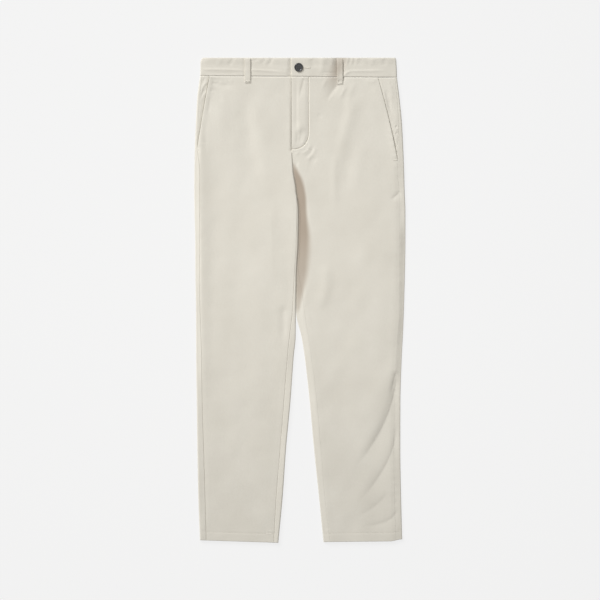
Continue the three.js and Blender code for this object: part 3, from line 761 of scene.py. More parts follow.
def band_surface(side, x, down):
    """The band's height less the way down to its side fold, stepped up or down at the lap,
    fuller along its top, less a bell curve beside each belt loop, plus its own creases and
    half of the quiet unevenness."""
    outer = band_outer(side, down)
    from_outer = np.abs(x - outer)
    high = BAND_HIGH - (BAND_HIGH - BAND_SIDE_HIGH) * (1 - ease(from_outer / BAND_ROLL))
    middle = LOOPS[side["name"]][0]
    from_loop = (np.abs(x - middle) - LOOP_WIDTH / 2) / LOOP_PULL_WIDE
    inside = ease(from_outer / EDGE_FADE)
    high = high + inside * BAND_TOP_HIGH * (1 - ease((down - 4) / BAND_TOP_WIDE))
    high = high - LOOP_PULL * np.exp(-(from_loop**2))
    high = high + inside * (fold_relief(BAND_FOLDS, x, down) + 0.5 * unevenness(x, down))
    if side["name"] == "left":
        return high + LAP_LIFT * ease((UNDERLAP_END + LAP_BLEND - x) / LAP_BLEND)
    return high - UNDERLAP_SINK * ease((x - LAP_X + UNDERLAP_STEP + 1) / UNDERLAP_STEP)


at_button = float(band_surface(SIDES["left"], 0.0, 20.6))
print("band at the button", round(at_button, 2), "mm high")

# %% [markdown]
# The fronts. Each is one panel from the waist seam to the hem. Along the slanted pocket the
# edge is folded back on itself and free; below the pocket it runs in the side seam. The left
# front's inner edge is the fly's fold, and the right front goes a little way under it. At the
# hem the cloth is turned up twice, so the wall is three layers thick there.

# %% Front panels
CLOTH_THIN = 0.75
BACK_CLEAR = 0.1
FOLDED_CLOTH = 1.3
HEM_CLOTH = 1.8
HEM_STEP, HEM_GROOVE = 0.16, 0.12
SEAM_GAP = 0.05
WAIST_TUCK = 0.2
LAP_UNDER = 4.0
LAP_SINK, LAP_SINK_LOW = 1.8, 3.5
LAP_SINK_WIDE, LAP_SINK_WIDE_LOW = 9.0, 7.0
POCKET_PROUD = {"right": (1.4, 0.8), "left": (0.0, 1.2)}
POCKET_PROUD_WIDE = 9.0
POCKET_HEM = 9.0
POCKET_RIPPLE = {"right": 0.08, "left": 0.28}
FRONT_ROWS_AT = ((BAND_DEPTH, 14, 1.5), (FLY_BOTTOM - 4, 12, 2.0), (LENGTH - HEM_DEPTH, 3, 3.0))
CROTCH_FROM, CROTCH_FULL = 212.0, 250.0
CROTCH_ROLL = 3.4
CROTCH_UNDER = 3.5


def pocket_edge(side, down):
    """The pocket's slant: a straight line from waist to side seam, bowed out by a parabola."""
    t = np.clip((down - BAND_DEPTH) / (side["pocket_end"] - BAND_DEPTH), 0, 1)
    end = section(side, np.array(side["pocket_end"]))["outseam"]
    return lerp(side["pocket_top"], end, t) + side["out"] * side["pocket_bow"] * 4 * t * (1 - t)


def hem_relief(down):
    """A step up on to the turned hem, with the groove that its row of stitches draws in."""
    stitched = LENGTH - HEM_DEPTH
    groove = HEM_GROOVE * np.exp(-(((down - stitched) / 1.4) ** 2))
    return HEM_STEP * ease((down - stitched - 0.5) / 4) - groove


def ends_relief(down, start):
    """Down into the waist seam at the top, and round the fold of the hem at the bottom."""
    waist = rolled(down - start, WAIST_SEAM_RADIUS, WAIST_SEAM_DEPTH)
    return waist + rolled(LENGTH - down, EDGE_RADIUS, 0.7)


def front_surface(side, x, down):
    """The front's height as dressed, away from its edges, for what is sewn on to it."""
    return front_height(side, section(side, down), x, down) + hem_relief(down)


def front_panel(side):
    """The surface from the pocket or the side seam to the fly or the inside seam, with each
    edge rolled down by its own depth, and the lower face one thickness below it."""
    start = BAND_DEPTH + WAIST_TUCK
    rows = fine_rows(start, LENGTH, ROW_STEP, FRONT_ROWS_AT)
    s = section(side, rows)
    open_pocket = rows < side["pocket_end"]
    seam = s["outseam"] - side["out"] * SEAM_GAP
    outer = np.where(open_pocket, pocket_edge(side, rows), seam)
    inner = s["inseam"] + side["out"] * SEAM_GAP
    lapped = 1 - ease((rows - FLY_BOTTOM) / 8)
    over = ease((rows - CROTCH_FROM) / (CROTCH_FULL - CROTCH_FROM))
    over = over * (1 - ease((rows - CROTCH_DOWN) / 14))
    inner = inner + (LAP_UNDER * lapped if side["name"] == "right" else -CROTCH_UNDER * over)
    fly_at = fly_reach(rows) if side["name"] == "left" else np.full(len(rows), LAP_X - 3)
    fly_times = 5 * ease((FLY_BOTTOM + 12 - rows) / 24)
    places = [((fly, 2.2, times), (edge, 16, 1.0), (centre, 30, 0.6))
              for fly, times, edge, centre in zip(fly_at, fly_times, outer, inner)]
    x = fine_columns(inner, outer, FRONT_COLUMNS, places)
    down = np.broadcast_to(rows[:, None], x.shape)
    z = front_surface(side, x, down) - ends_relief(down, start)
    from_outer, from_inner = np.abs(x - outer[:, None]), np.abs(x - inner[:, None])
    pocket = (1 - ease((rows - side["pocket_end"] + 8) / 8))[:, None]
    ripple = POCKET_RIPPLE[side["name"]] * ease((down - 130) / 40) * np.sin(2 * math.pi * down / 14)
    proud = lerp(*POCKET_PROUD[side["name"]], ease((down - BAND_DEPTH) / 150))
    bell = np.exp(-((from_outer / POCKET_PROUD_WIDE) ** 2))
    z += pocket * (proud * bell + ripple * np.exp(-from_outer / 5))
    z -= lerp(rolled(from_outer, LEG_SEAM_RADIUS, side["outseam_depth"][0]),
              rolled(from_outer, EDGE_RADIUS, EDGE_DEPTH), pocket)
    thick = CLOTH_THIN + (FOLDED_CLOTH - CLOTH_THIN) * pocket * (1 - ease(from_outer / POCKET_HEM))
    lap = lapped[:, None]
    if side["name"] == "right":
        lower = ease((down - 60) / 90)
        sink = lerp(LAP_SINK, LAP_SINK_LOW, lower)
        z -= lap * rolled((LAP_X - x).clip(0), lerp(LAP_SINK_WIDE, LAP_SINK_WIDE_LOW, lower), sink)
        z -= (1 - lap) * rolled(from_inner, LEG_SEAM_RADIUS, side["inseam_depth"][0])
        left_high = column_at(LEFT_LEG, COLUMNS.index("inner_high"), rows)
        step = (s["inner_high"] - left_high) * over
        z -= step[:, None] * rolled(from_inner, CROTCH_ROLL, 1.0)
    else:
        z -= lerp(rolled(from_inner, LEG_SEAM_RADIUS, side["inseam_depth"][0]),
                  rolled(from_inner, EDGE_RADIUS, EDGE_DEPTH - 0.2), lap)
    in_hem = down > LENGTH - HEM_DEPTH
    thick = np.where(in_hem, HEM_CLOTH, thick)
    z, lower = kept_above(z, thick, np.where(in_hem, HEM_CLOTH, CLOTH_THIN) + BACK_CLEAR)
    upper = place(side, x, down, z)
    # painted shade in the crotch hollow, carried into the left front's colour
    shade = painted_hollow_shade(x, down) if side["name"] == "left" else None
    piece = cloth_wall(f"front_{side['name']}", upper, place(side, x, down, lower), twill, shade)
    dress(piece, f"front_{side['name']}_panel")
    return piece


fronts = {name: front_panel(side) for name, side in SIDES.items()}

# %% [markdown]
# The backs. A back panel lies on the ground, and its edges have rolled round on to the front,
# up to the side seam and the inside leg seam. So its section is a flat letter C. Above the
# crotch it ends at the centre back seam instead. The face that rests is flat; creases there
# only ever go up into the garment, as they do in cloth that lies on a table. The strips beyond
# the seams tilt a little, up or down away from the seam, and a table says by how much.

# %% Back panels
WRAP_COLUMNS = 9
# down, rise of the strip beyond the side seam, and beyond the inside leg seam, in mm for each mm
STRIP_RISE = {
    "right": np.array([(41, 0, 0), (640, 0, 0), (760, 0.06, 0.08), (860, 0.1, 0.1),
                       (1042, 0.1, 0.1)]),
    "left": np.array([(41, 0, 0), (340, 0, 0), (410, -0.2, 0), (650, -0.2, 0), (720, -0.13, 0),
                      (880, -0.1, 0), (960, 0, 0), (1042, 0, 0)], float),
}
ARC_COLUMNS = 13
FLAT_COLUMNS = 56
# columns as in the tables of folds above
BACK_FOLDS = np.array([
    (120, 120, 105, 200, 60, 262, 14, 14, 1.0),
    (-120, 110, -100, 190, -55, 258, 13, 16, 1.1),
    (40, 262, 90, 300, 150, 316, 10, 14, 1.2),
    (-36, 264, -84, 296, -140, 306, 12, 9, 1.0),
    (60, 330, 110, 350, 160, 352, 9, 12, 0.8),
    (-196, 590, -150, 640, -90, 652, 12, 10, 0.9),
    (-190, 640, -140, 690, -88, 712, 10, 10, 1.0),
    (196, 610, 150, 660, 92, 668, 12, 9, 1.0),
    (190, 700, 150, 760, 104, 792, 11, 10, 0.8),
    (-110, 380, -112, 480, -108, 560, 16, 16, 0.6),
    (108, 400, 112, 500, 110, 590, 16, 16, 0.6),
], float)


def arc_points(side_out, straight, top, radius, wall, count):
    """Half an ellipse from the upper face down to the ground, and the same one wall thickness
    further in: straight + radius * cos(angle) across and top / 2 * (1 + sin(angle)) high."""
    angle = math.pi * (0.5 - np.linspace(0, 1, count + 1)[1:-1])
    cos, sin = np.cos(angle), np.sin(angle)
    half = top / 2
    outside = (straight + side_out * radius * cos, half * (1 + sin))
    inside = (straight + side_out * (radius - wall) * cos, half + (half - wall) * sin)
    return outside, inside


def back_panel(side):
    """Five stretches joined side by side: the front strip at the side seam, the fold, the
    flat part, the inner fold and its strip, which become the centre back above the crotch."""
    start = BAND_DEPTH + WAIST_TUCK
    rows = fine_rows(start, LENGTH, ROW_STEP)
    column = {name: values[:, None] for name, values in section(side, rows).items()}
    down = rows[:, None]
    out = side["out"]
    wall = np.where(down > LENGTH - HEM_DEPTH, HEM_CLOTH, CLOTH_THIN)
    near_seam = np.linspace(0, 1, WRAP_COLUMNS) ** 1.6

    def wrap(seam_x, straight, depth, column_of_rise):
        """The stretch on the front side, from the seam to where the fold begins."""
        x = lerp(seam_x, straight, near_seam)
        far_down = np.broadcast_to(down, x.shape)
        z = front_surface(side, x, far_down) - ends_relief(far_down, start)
        below = ease((down - side["pocket_end"]) / 10)
        deep = lerp(FACING_SEAM_DEPTH, depth, below)
        beyond = np.abs(x - seam_x)
        z += column_at(STRIP_RISE[side["name"]], column_of_rise, down) * beyond
        return x, z - deep * rolled(beyond, LEG_SEAM_RADIUS, 1.0)

    radius = column["outer_high"] / 2
    straight = column["outer"] - out * radius
    wrap_x, wrap_z = wrap(column["outseam"] + out * SEAM_GAP, straight, side["outseam_depth"][1], 1)
    (arc_x, arc_z), (arc_in_x, arc_in_z) = arc_points(
        out, straight, wrap_z[:, -1:], radius, wall, ARC_COLUMNS)
    inner_radius = column["inner_high"] / 2
    inner_straight = column["inner"] + out * inner_radius
    inseam = column["inseam"] - out * SEAM_GAP
    leg_x, leg_z = wrap(inseam, inner_straight, side["inseam_depth"][1], 2)
    (fold_x, fold_z), (fold_in_x, fold_in_z) = arc_points(
        -out, inner_straight, leg_z[:, -1:], inner_radius, wall, ARC_COLUMNS)
    inside_x = np.concatenate([leg_x, fold_x], axis=1)[:, ::-1]
    inside_z = np.concatenate([leg_z, fold_z], axis=1)[:, ::-1]
    inside_in_x = np.concatenate([leg_x, fold_in_x], axis=1)[:, ::-1]
    inside_in_z = np.concatenate([leg_z - wall, fold_in_z], axis=1)[:, ::-1]
    moved = ease((down - CROTCH_DOWN) / (WRAP_RISE / 2))
    risen = ease((down - CROTCH_DOWN) / WRAP_RISE)
    centre_back = CROTCH_X * np.clip(down / CROTCH_DOWN, 0, 1) + out * SEAM_GAP
    share = np.linspace(0, 1, inside_x.shape[1])
    seat_x = centre_back + out * WRAP_SPAN * (1 - share)
    inside_x, inside_in_x = lerp(seat_x, inside_x, moved), lerp(seat_x, inside_in_x, moved)
    seat_z = rolled(np.abs(seat_x - centre_back), LEG_SEAM_RADIUS, LEG_SEAM_DEPTH)
    inside_z, inside_in_z = lerp(seat_z, inside_z, risen), lerp(seat_z + wall, inside_in_z, risen)
    flat_share = np.linspace(0, 1, FLAT_COLUMNS)
    flat_x = lerp(straight, inside_x[:, :1], flat_share)[:, :-1]
    flat_down = np.broadcast_to(down, flat_x.shape)
    crease = fold_relief(BACK_FOLDS, flat_x, flat_down) + 0.8 * unevenness(flat_x, flat_down)
    from_ends = np.minimum(np.abs(flat_x - straight), np.abs(flat_x - inside_x[:, :1]))
    flat_z = np.maximum(0, crease) * ease(from_ends / EDGE_FADE)
    x = np.concatenate([wrap_x, arc_x, flat_x, inside_x], axis=1)
    z = np.concatenate([wrap_z, arc_z, flat_z, inside_z], axis=1)
    x_in = np.concatenate([wrap_x, arc_in_x, flat_x, inside_in_x], axis=1)
    z_in = np.concatenate([wrap_z - wall, arc_in_z, flat_z + wall, inside_in_z], axis=1)
    upper = place(side, x, down, z)
    # painted shade in the crotch hollow on the left back's raised wraps; the face that rests gets
    # none
    shade = None
    if side["name"] == "left":
        shade = painted_hollow_shade(x, np.broadcast_to(down, x.shape)) * ease(z / 3)
    piece = cloth_wall(f"back_{side['name']}", upper, place(side, x_in, down, z_in), twill, shade)
    dress(piece, f"back_{side['name']}_panel")
    return piece


backs = {name: back_panel(side) for name, side in SIDES.items()}

# %% [markdown]
# Behind the slanted pocket edges lies a facing of the same cloth, sewn into the side seam and
# running in under the front. It is a little slack, so it lies lower towards the slant and has
# creases of its own. The fly has a layer behind it too, which only its stitches and the lift
# of the left front give away.

# %% Pocket facings and the layer behind the fly
FACING_TUCK = 14.0
FACING_DROP = 0.9
FACING_SINK = {"right": 1.9, "left": 0.8}
FACING_SINK_WIDE = {"right": 8.0, "left": 4.0}
FACING_FOLDS = np.array([
    (-217, 78, -207, 62, -197, 50, 2.2, 2.4, 0.9),
    (-216, 62, -209, 52, -203, 42, 2.0, 2.2, -0.7),
    (-218, 94, -209, 78, -200, 66, 2.2, 2.4, -0.8),
    (-203, 48, -200, 70, -204, 98, 5, 5, 0.6),
    (-207, 84, -199, 96, -196, 118, 4, 5, -0.5),
    (-217, 104, -208, 120, -207, 150, 4, 4, 0.4),
    (185, 66, 190, 94, 197, 128, 3.5, 4.0, -0.8),
    (193, 52, 195.6, 54, 199, 55, 2.5, 2.5, -0.5),
    (192, 46, 197, 70, 203, 92, 5, 5, 0.5),
    (190, 84, 196, 108, 206, 128, 5, 5, -0.5),
    (201, 128, 206, 150, 209, 178, 4, 4, 0.35),
    (204, 149, 207.5, 148, 211, 147, 2.0, 1.6, -1.5),
    (205, 163.5, 208.5, 162.5, 212, 162, 2.0, 1.6, -1.3),
    (206, 190, 209.5, 189, 213, 188, 2.0, 1.6, -1.5),
    (203, 172, 206, 176, 209, 183, 1.6, 1.6, 0.6),
], float)


def pocket_facing(side):
    """The front's height from the side seam to the slant, sinking towards it and under it."""
    start, end = BAND_DEPTH + WAIST_TUCK, side["pocket_end"] - 2
    rows = fine_rows(start, end, 2.2)
    s = section(side, rows)
    outer = s["outseam"] - side["out"] * SEAM_GAP
    edge = pocket_edge(side, rows)
    x = fine_columns(outer, edge - side["out"] * FACING_TUCK, 26)
    down = np.broadcast_to(rows[:, None], x.shape)
    from_seam = np.abs(x - outer[:, None])
    across = from_seam / np.maximum(np.abs(edge - outer), 3)[:, None]
    z = front_height(side, section(side, down), x, down)
    fading = 1 - ease((across - 0.85) / 0.4)
    z += ease(from_seam / 5) * fold_relief(FACING_FOLDS, x, down) * fading
    z -= FACING_DROP * ease(across / 0.95)
    beyond = side["out"] * (x - edge[:, None])
    z -= rolled(beyond.clip(0), FACING_SINK_WIDE[side["name"]], FACING_SINK[side["name"]])
    z -= rolled(from_seam, LEG_SEAM_RADIUS, FACING_SEAM_DEPTH)
    z -= rolled(down - start, WAIST_SEAM_RADIUS, WAIST_SEAM_DEPTH)
    z, lower = kept_above(z, CLOTH_THIN, CLOTH_THIN + BACK_CLEAR)
    upper = place(side, x, down, z)
    piece = cloth_wall(f"facing_{side['name']}", upper, place(side, x, down, lower), twill)
    dress(piece, f"pocket_facing_{side['name']}")


def fly_layer():
    """A flat strip from under the lap to the J, as high as the right front's edge less a drop."""
    side = SIDES["left"]
    rows = fine_rows(BAND_DEPTH + WAIST_TUCK, FLY_BOTTOM - 6, 3.0)
    x = fine_columns(np.full(len(rows), LAP_X + LAP_UNDER + 0.4), fly_reach(rows) - 2, 12)
    down = np.broadcast_to(rows[:, None], x.shape)
    lap = np.full_like(down, LAP_X)
    z = front_height(SIDES["right"], section(SIDES["right"], down), lap, down) - FACING_DROP - 0.3
    upper = place(side, x, down, z)
    piece = cloth_wall("fly_layer", upper, place(side, x, down, z - CLOTH_THIN), twill)
    dress(piece, "fly_underlap")


for side in SIDES.values():
    pocket_facing(side)
fly_layer()

# %% [markdown]
# The waistband goes round the body in two halves that meet at the centre back. Its section is
# a narrow J lying on its side: the front stretch, the fold at the side, and the stretch below
# that rests on the ground. The top edge is a fold, so it is fuller than the seam at the bottom.

# %% Waistband
BAND_FRONT_COLUMNS = 84
BAND_BACK_COLUMNS = 40
TOP_RADIUS, TOP_DEPTH = 2.2, 1.0


def waistband(side):
    """Three stretches: the front, the fold at the side, and the part below, to centre back."""
    out = side["out"]
    end = BAND_DEPTH - WAIST_TUCK
    rows = fine_rows(0.0, end, 1.5)
    front_end = LAP_X + SEAM_GAP if side["name"] == "left" else UNDERLAP_END
    outer = band_outer(side, rows)[:, None]
    down = rows[:, None]
    radius = BAND_SIDE_HIGH / 2
    straight = outer - out * radius
    x = fine_columns(np.full(len(rows), front_end), straight[:, 0], BAND_FRONT_COLUMNS)
    x = x[:, :-len(EDGE_STEPS) + 1]
    x[:, -1] = straight[:, 0]
    far_down = np.broadcast_to(down, x.shape)
    edges = rolled(far_down, TOP_RADIUS, TOP_DEPTH)
    edges += rolled(end - far_down, WAIST_SEAM_RADIUS, WAIST_SEAM_DEPTH)
    z = band_surface(side, x, far_down) - edges
    z -= rolled(np.abs(x - front_end), EDGE_RADIUS, EDGE_DEPTH)
    z, lower = kept_above(z, BAND_CLOTH, BAND_CLOTH + LEG_SEAM_DEPTH)
    (arc_x, arc_z), (arc_in_x, arc_in_z) = arc_points(
        out, straight, z[:, -1:], radius, BAND_CLOTH, ARC_COLUMNS)
    centre = out * SEAM_GAP
    back_x = lerp(straight, centre, np.linspace(0, 1, BAND_BACK_COLUMNS))
    groove = rolled(np.abs(back_x - centre), LEG_SEAM_RADIUS, LEG_SEAM_DEPTH)
    back_z = groove + rolled(end - down, LEG_SEAM_RADIUS, LEG_SEAM_DEPTH) + 0 * back_x
    whole_x = np.concatenate([x, arc_x, back_x], axis=1)
    whole_z = np.concatenate([z, arc_z, back_z], axis=1)
    inner_x = np.concatenate([x, arc_in_x, back_x], axis=1)
    inner_z = np.concatenate([lower, arc_in_z, back_z + BAND_CLOTH], axis=1)
    upper = place(side, whole_x, down, whole_z)
    # painted shade in the pinch beside the left belt loop, on the band's raised front only
    shade = painted_hollow_shade(whole_x, np.broadcast_to(down, whole_x.shape))
    shade = shade * (whole_z > BAND_SIDE_HIGH / 2)
    inner = place(side, inner_x, down, inner_z)
    piece = cloth_wall(f"band_{side['name']}", upper, inner, twill, shade)
    dress(piece, f"waistband_{side['name']}")


for side in SIDES.values():
    waistband(side)

# %% [markdown]
# Belt loops are strips folded in three, stitched along both edges, and tacked at the top of
# the band and again just below the waist seam. Between the tacks a loop stands off the band,
# so it throws a thin shadow beside it.

# %% Belt loops
LOOP_TOP = 1.5
LOOP_LIFT = {"right": 0.5, "left": 1.5}
LOOP_SEAT = 0.35
LOOP_CLOTH = 1.3
LOOP_FLAT = 0.7
# share of the painted pinch shade that the loop itself gets
LOOP_PAINTED_SHADE = 0.9
LOOP_ROWS_IN = 2.2


def loop_surface(side, x, down):
    """The band's height, then the front's below the waist seam, plus the seat, the lift
    between the two tacks and the strip's own thickness; its long edges are rounded."""
    middle, end = LOOPS[side["name"]]
    on_front = ease((down - BAND_DEPTH - 3) / 6)
    base = lerp(band_surface(side, x, np.minimum(down, BAND_DEPTH)),
                front_surface(side, x, np.maximum(down, BAND_DEPTH)), on_front)
    t = (down - LOOP_TOP) / (end - LOOP_TOP)
    lift = LOOP_LIFT[side["name"]] * ease(t / 0.22) * ease((1 - t) / 0.22)
    return base + LOOP_SEAT + lift + LOOP_CLOTH


def belt_loop(side):
    """A strip between its surface and the height along its middle, its edges rolled down, with
    a groove along each row of stitches, depth * exp(-(distance / width) squared)."""
    middle, end = LOOPS[side["name"]]
    rows = fine_rows(LOOP_TOP, end, 1.2)
    half = np.full(len(rows), LOOP_WIDTH / 2)
    x = fine_columns(middle - half, middle + half, 8)
    down = np.broadcast_to(rows[:, None], x.shape)
    centre = loop_surface(side, np.full(x.shape, middle), down)
    z = lerp(loop_surface(side, x, down), centre, LOOP_FLAT)
    from_edge = LOOP_WIDTH / 2 - np.abs(x - middle)
    z -= rolled(from_edge, 0.9, 0.8) + 0.18 * np.exp(-(((from_edge - LOOP_ROWS_IN) / 0.6) ** 2))
    z -= rolled(down - LOOP_TOP, 1.0, 0.7) + rolled(end - down, 1.0, 0.8)
    upper = place(side, x, down, z)
    lower = place(side, x, down, centre - LOOP_CLOTH)
    # painted shade on the loop, taken from the painted pinch shade beneath it
    shade = LOOP_PAINTED_SHADE * painted_hollow_shade(x, down)
    piece = cloth_wall(f"loop_{side['name']}", upper, lower, twill, shade)
    dress(piece, f"belt_loop_{side['name']}")


for side in SIDES.values():
    belt_loop(side)

# %% [markdown]
# The button is a four-hole one of dark resin, about 18 mm across: a rounded rim, a dished
# middle and four holes with the thread going through in two bars. A disc is a surface of
# radius and angle, so its profile is a function of the radius, and the holes are wells cut
# into it by a second function of the distance from each hole's middle.

# %% Button
BUTTON_X, BUTTON_DOWN = -2.9, 20.8
BUTTON_RADIUS = 9.4
BUTTON_HIGH = 2.8
BUTTON_RIM = 1.7
BUTTON_STAND = 0.3
BUTTON_DISH = 0.75
HOLE_AT, HOLE_RADIUS, HOLE_DEEP = 2.4, 0.85, 1.5
BUTTON_RINGS, BUTTON_SPOKES = 64, 112


def button_material():
    """Dark resin: a near-black base with a slow cloudy variation, glossy, its roughness varying
    with the clouds under a thin coat.
    """
    material = bpy.data.materials.new("button_resin")
    material.use_nodes = True
    tree = material.node_tree
    shader = tree.nodes["Principled BSDF"]
    place_at = node(tree, "ShaderNodeTexCoord")
    clouds = node(tree, "ShaderNodeTexNoise", Scale=420.0, Detail=3.0, Distortion=1.2)
    tree.links.new(place_at.outputs["Object"], clouds.inputs["Vector"])
    ramp = node(tree, "ShaderNodeValToRGB")
    ramp.color_ramp.elements[0].color = (0.030, 0.031, 0.034, 1)
    ramp.color_ramp.elements[1].color = (0.062, 0.063, 0.066, 1)
    tree.links.new(clouds.outputs["Fac"], ramp.inputs["Fac"])
    tree.links.new(ramp.outputs["Color"], shader.inputs["Base Color"])
    wear = node(tree, "ShaderNodeMapRange")
    wear.inputs["To Min"].default_value = 0.24
    wear.inputs["To Max"].default_value = 0.42
    tree.links.new(clouds.outputs["Fac"], wear.inputs["Value"])
    tree.links.new(wear.outputs["Result"], shader.inputs["Roughness"])
    shader.inputs["Coat Weight"].default_value = 0.2
    return material


def button_profile(radius, angle):
    """Height over the button's base: a rim of a half round, a dish inside it, and wells of
    depth * soft step of the distance inside each of the four holes."""
    from_edge = BUTTON_RADIUS - radius
    rim = np.sqrt(np.clip(1 - ((BUTTON_RIM - from_edge) / BUTTON_RIM).clip(0, 1) ** 2, 0, 1))
    dish = BUTTON_DISH * ease((from_edge - BUTTON_RIM * 0.9) / 1.6)
    high = BUTTON_HIGH * lerp(0.45, 1.0, rim) - dish
    px, py = radius * np.cos(angle), radius * np.sin(angle)
    for corner in range(4):
        turn = (corner + 0.5) * math.pi / 2
        away = np.hypot(px - HOLE_AT * math.cos(turn), py - HOLE_AT * math.sin(turn))
        high = high - HOLE_DEEP * ease((HOLE_RADIUS + 0.15 - away) / 0.3)
    return high


def make_button():
    """Rings and spokes of points above and below, joined by quads, and capped in the middle."""
    base = float(band_surface(SIDES["left"], BUTTON_X, BUTTON_DOWN)) + BUTTON_STAND
    share = np.linspace(0, 1, BUTTON_RINGS + 1)[1:]
    radius = BUTTON_RADIUS * (1 - (1 - share) ** 1.25)
    angle = np.linspace(0, 2 * math.pi, BUTTON_SPOKES, endpoint=False)
    r, a = np.meshgrid(radius, angle, indexing="ij")
    top = np.stack([BUTTON_X + r * np.cos(a), WAIST_TOP_Y - BUTTON_DOWN + r * np.sin(a),
                    base + button_profile(r, a)], axis=-1).reshape(-1, 3)
    low = np.stack([BUTTON_X + r * np.cos(a), WAIST_TOP_Y - BUTTON_DOWN + r * np.sin(a),
                    base + 0.5 * ease((r - BUTTON_RADIUS + 2.5) / 2.5)], axis=-1).reshape(-1, 3)
    rings, spokes = r.shape
    count = rings * spokes
    corner = (np.arange(rings - 1)[:, None] * spokes + np.arange(spokes)).ravel()
    beside = (np.arange(rings - 1)[:, None] * spokes + np.roll(np.arange(spokes), -1)).ravel()
    face = np.stack([corner, corner + spokes, beside + spokes, beside], axis=-1)
    rim = (rings - 1) * spokes + np.arange(spokes)
    rim_next = np.roll(rim, -1)
    wall = np.stack([rim, rim + count, rim_next + count, rim_next], axis=-1)
    pairs = np.arange(spokes // 2 - 1)
    cap = np.stack([pairs, pairs + 1, spokes - 2 - pairs, spokes - 1 - pairs], axis=-1)
    quads = np.concatenate([face, face[:, ::-1] + count, wall, cap, cap[:, ::-1] + count])
    points = np.concatenate([top, low]) * MM
    piece = mesh_object("button", points, quads, points[:, :2], button_material())
    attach(piece, "root")
    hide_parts("waist_button")
    print("button", 2 * BUTTON_RADIUS, "mm across,", len(quads), "faces")


make_button()

# %% [markdown]
# Sewing. A stitch is a short length of thread that comes up out of the cloth, lies on it and
# goes down again, so each is a small spindle bent into a low arch. One template is carried to
# every stitch of a row at once: the row is a path over the cloth, cut into equal steps, and
# the height comes from the cloth's own surface. A bar tack is the same spindle laid crosswise,
# very close together. All rows are joined into one mesh for each kind of sewing.

# %% Stitches
SPINDLE_RINGS, SPINDLE_SIDES = 7, 6
THREAD = 0.45
STITCH_LONG, STITCH_GAP = 2.3, 0.7
ARCH = 0.28


def spindles(centre, along, long, wide, arch):
    """Points and quads of one spindle for each row of centre and along. At u from -1 to 1 its
    radius is wide / 2 * (1 - u^4)^0.5, and its middle is raised by arch * (1 - 2 u^2)."""
    u = np.linspace(-0.97, 0.97, SPINDLE_RINGS)[None, :, None]
    turn = np.linspace(0, 2 * math.pi, SPINDLE_SIDES, endpoint=False)[None, None, :]
    along = along / np.linalg.norm(along, axis=1, keepdims=True)
    across = np.cross(np.array([0.0, 0.0, 1.0]), along)
    across /= np.linalg.norm(across, axis=1, keepdims=True)
    up = np.cross(along, across)
    radius = wide / 2 * np.sqrt(1 - u**4)
    spread = [(u * long / 2 + 0 * turn), radius * np.cos(turn),
              radius * np.sin(turn) + arch * (1 - 2 * u**2)]
    points = centre[:, None, None, :] + sum(
        part[..., None] * axis[:, None, None, :] for part, axis in zip(spread, (along, across, up)))
    quads = []
    side = np.arange(SPINDLE_SIDES)
    for ring in range(SPINDLE_RINGS - 1):
        a = ring * SPINDLE_SIDES + side
        b = ring * SPINDLE_SIDES + np.roll(side, -1)
        quads.append(np.stack([a, b, b + SPINDLE_SIDES, a + SPINDLE_SIDES], axis=-1))
    last = (SPINDLE_RINGS - 1) * SPINDLE_SIDES
    quads.append(np.array([[3, 2, 1, 0], [5, 4, 3, 0]]))
    quads.append(last + np.array([[0, 1, 2, 3], [0, 3, 4, 5]]))
    template = np.concatenate(quads)
    size = SPINDLE_RINGS * SPINDLE_SIDES
    starts = np.arange(len(centre))[:, None, None] * size
    return points.reshape(-1, 3), (template[None] + starts).reshape(-1, 4)


def along_path(side, surface, x, down, pitch):
    """Middles and directions of equal steps along a path over a surface, in millimetres."""
    x, down = np.asarray(x, float), np.asarray(down, float)
    height = surface(side, x, down)
    path = place(side, x, down, height) / MM
    length = np.concatenate([[0], np.cumsum(np.linalg.norm(np.diff(path, axis=0), axis=1))])
    at = np.arange(pitch / 2, length[-1], pitch)
    centre = np.stack([np.interp(at, length, path[:, k]) for k in range(3)], axis=-1)
    ahead = np.stack([np.interp(at + 0.4, length, path[:, k]) for k in range(3)], axis=-1)
    behind = np.stack([np.interp(at - 0.4, length, path[:, k]) for k in range(3)], axis=-1)
    return centre, ahead - behind


def sewn(name, parts, material):
    """Joins the spindles of all rows into one piece that rides with the cloth."""
    points, quads, start = [], [], 0
    for some_points, some_quads in parts:
        points.append(some_points)
        quads.append(some_quads + start)
        start += len(some_points)
    points = np.concatenate(points) * MM
    piece = mesh_object(name, points, np.concatenate(quads), points[:, :2], material)
    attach(piece, "root")
    print(name, len(piece.data.polygons), "faces")


def row_of_stitches(side, surface, x, down, long=STITCH_LONG, gap=STITCH_GAP):
    """Spindles one after the other along a path, with a gap between them."""
    centre, along = along_path(side, surface, x, down, long + gap)
    return spindles(centre, along, long, THREAD, ARCH)


def bar_tack(side, surface, x, down, wide):
    """Threads laid across the bar, 0.35 mm apart."""
    centre, along = along_path(side, surface, x, down, 0.35)
    across = np.cross(along, np.array([0.0, 0.0, 1.0]))
    return spindles(centre + np.array([0, 0, 0.15]), across, wide, 0.5, 0.3)


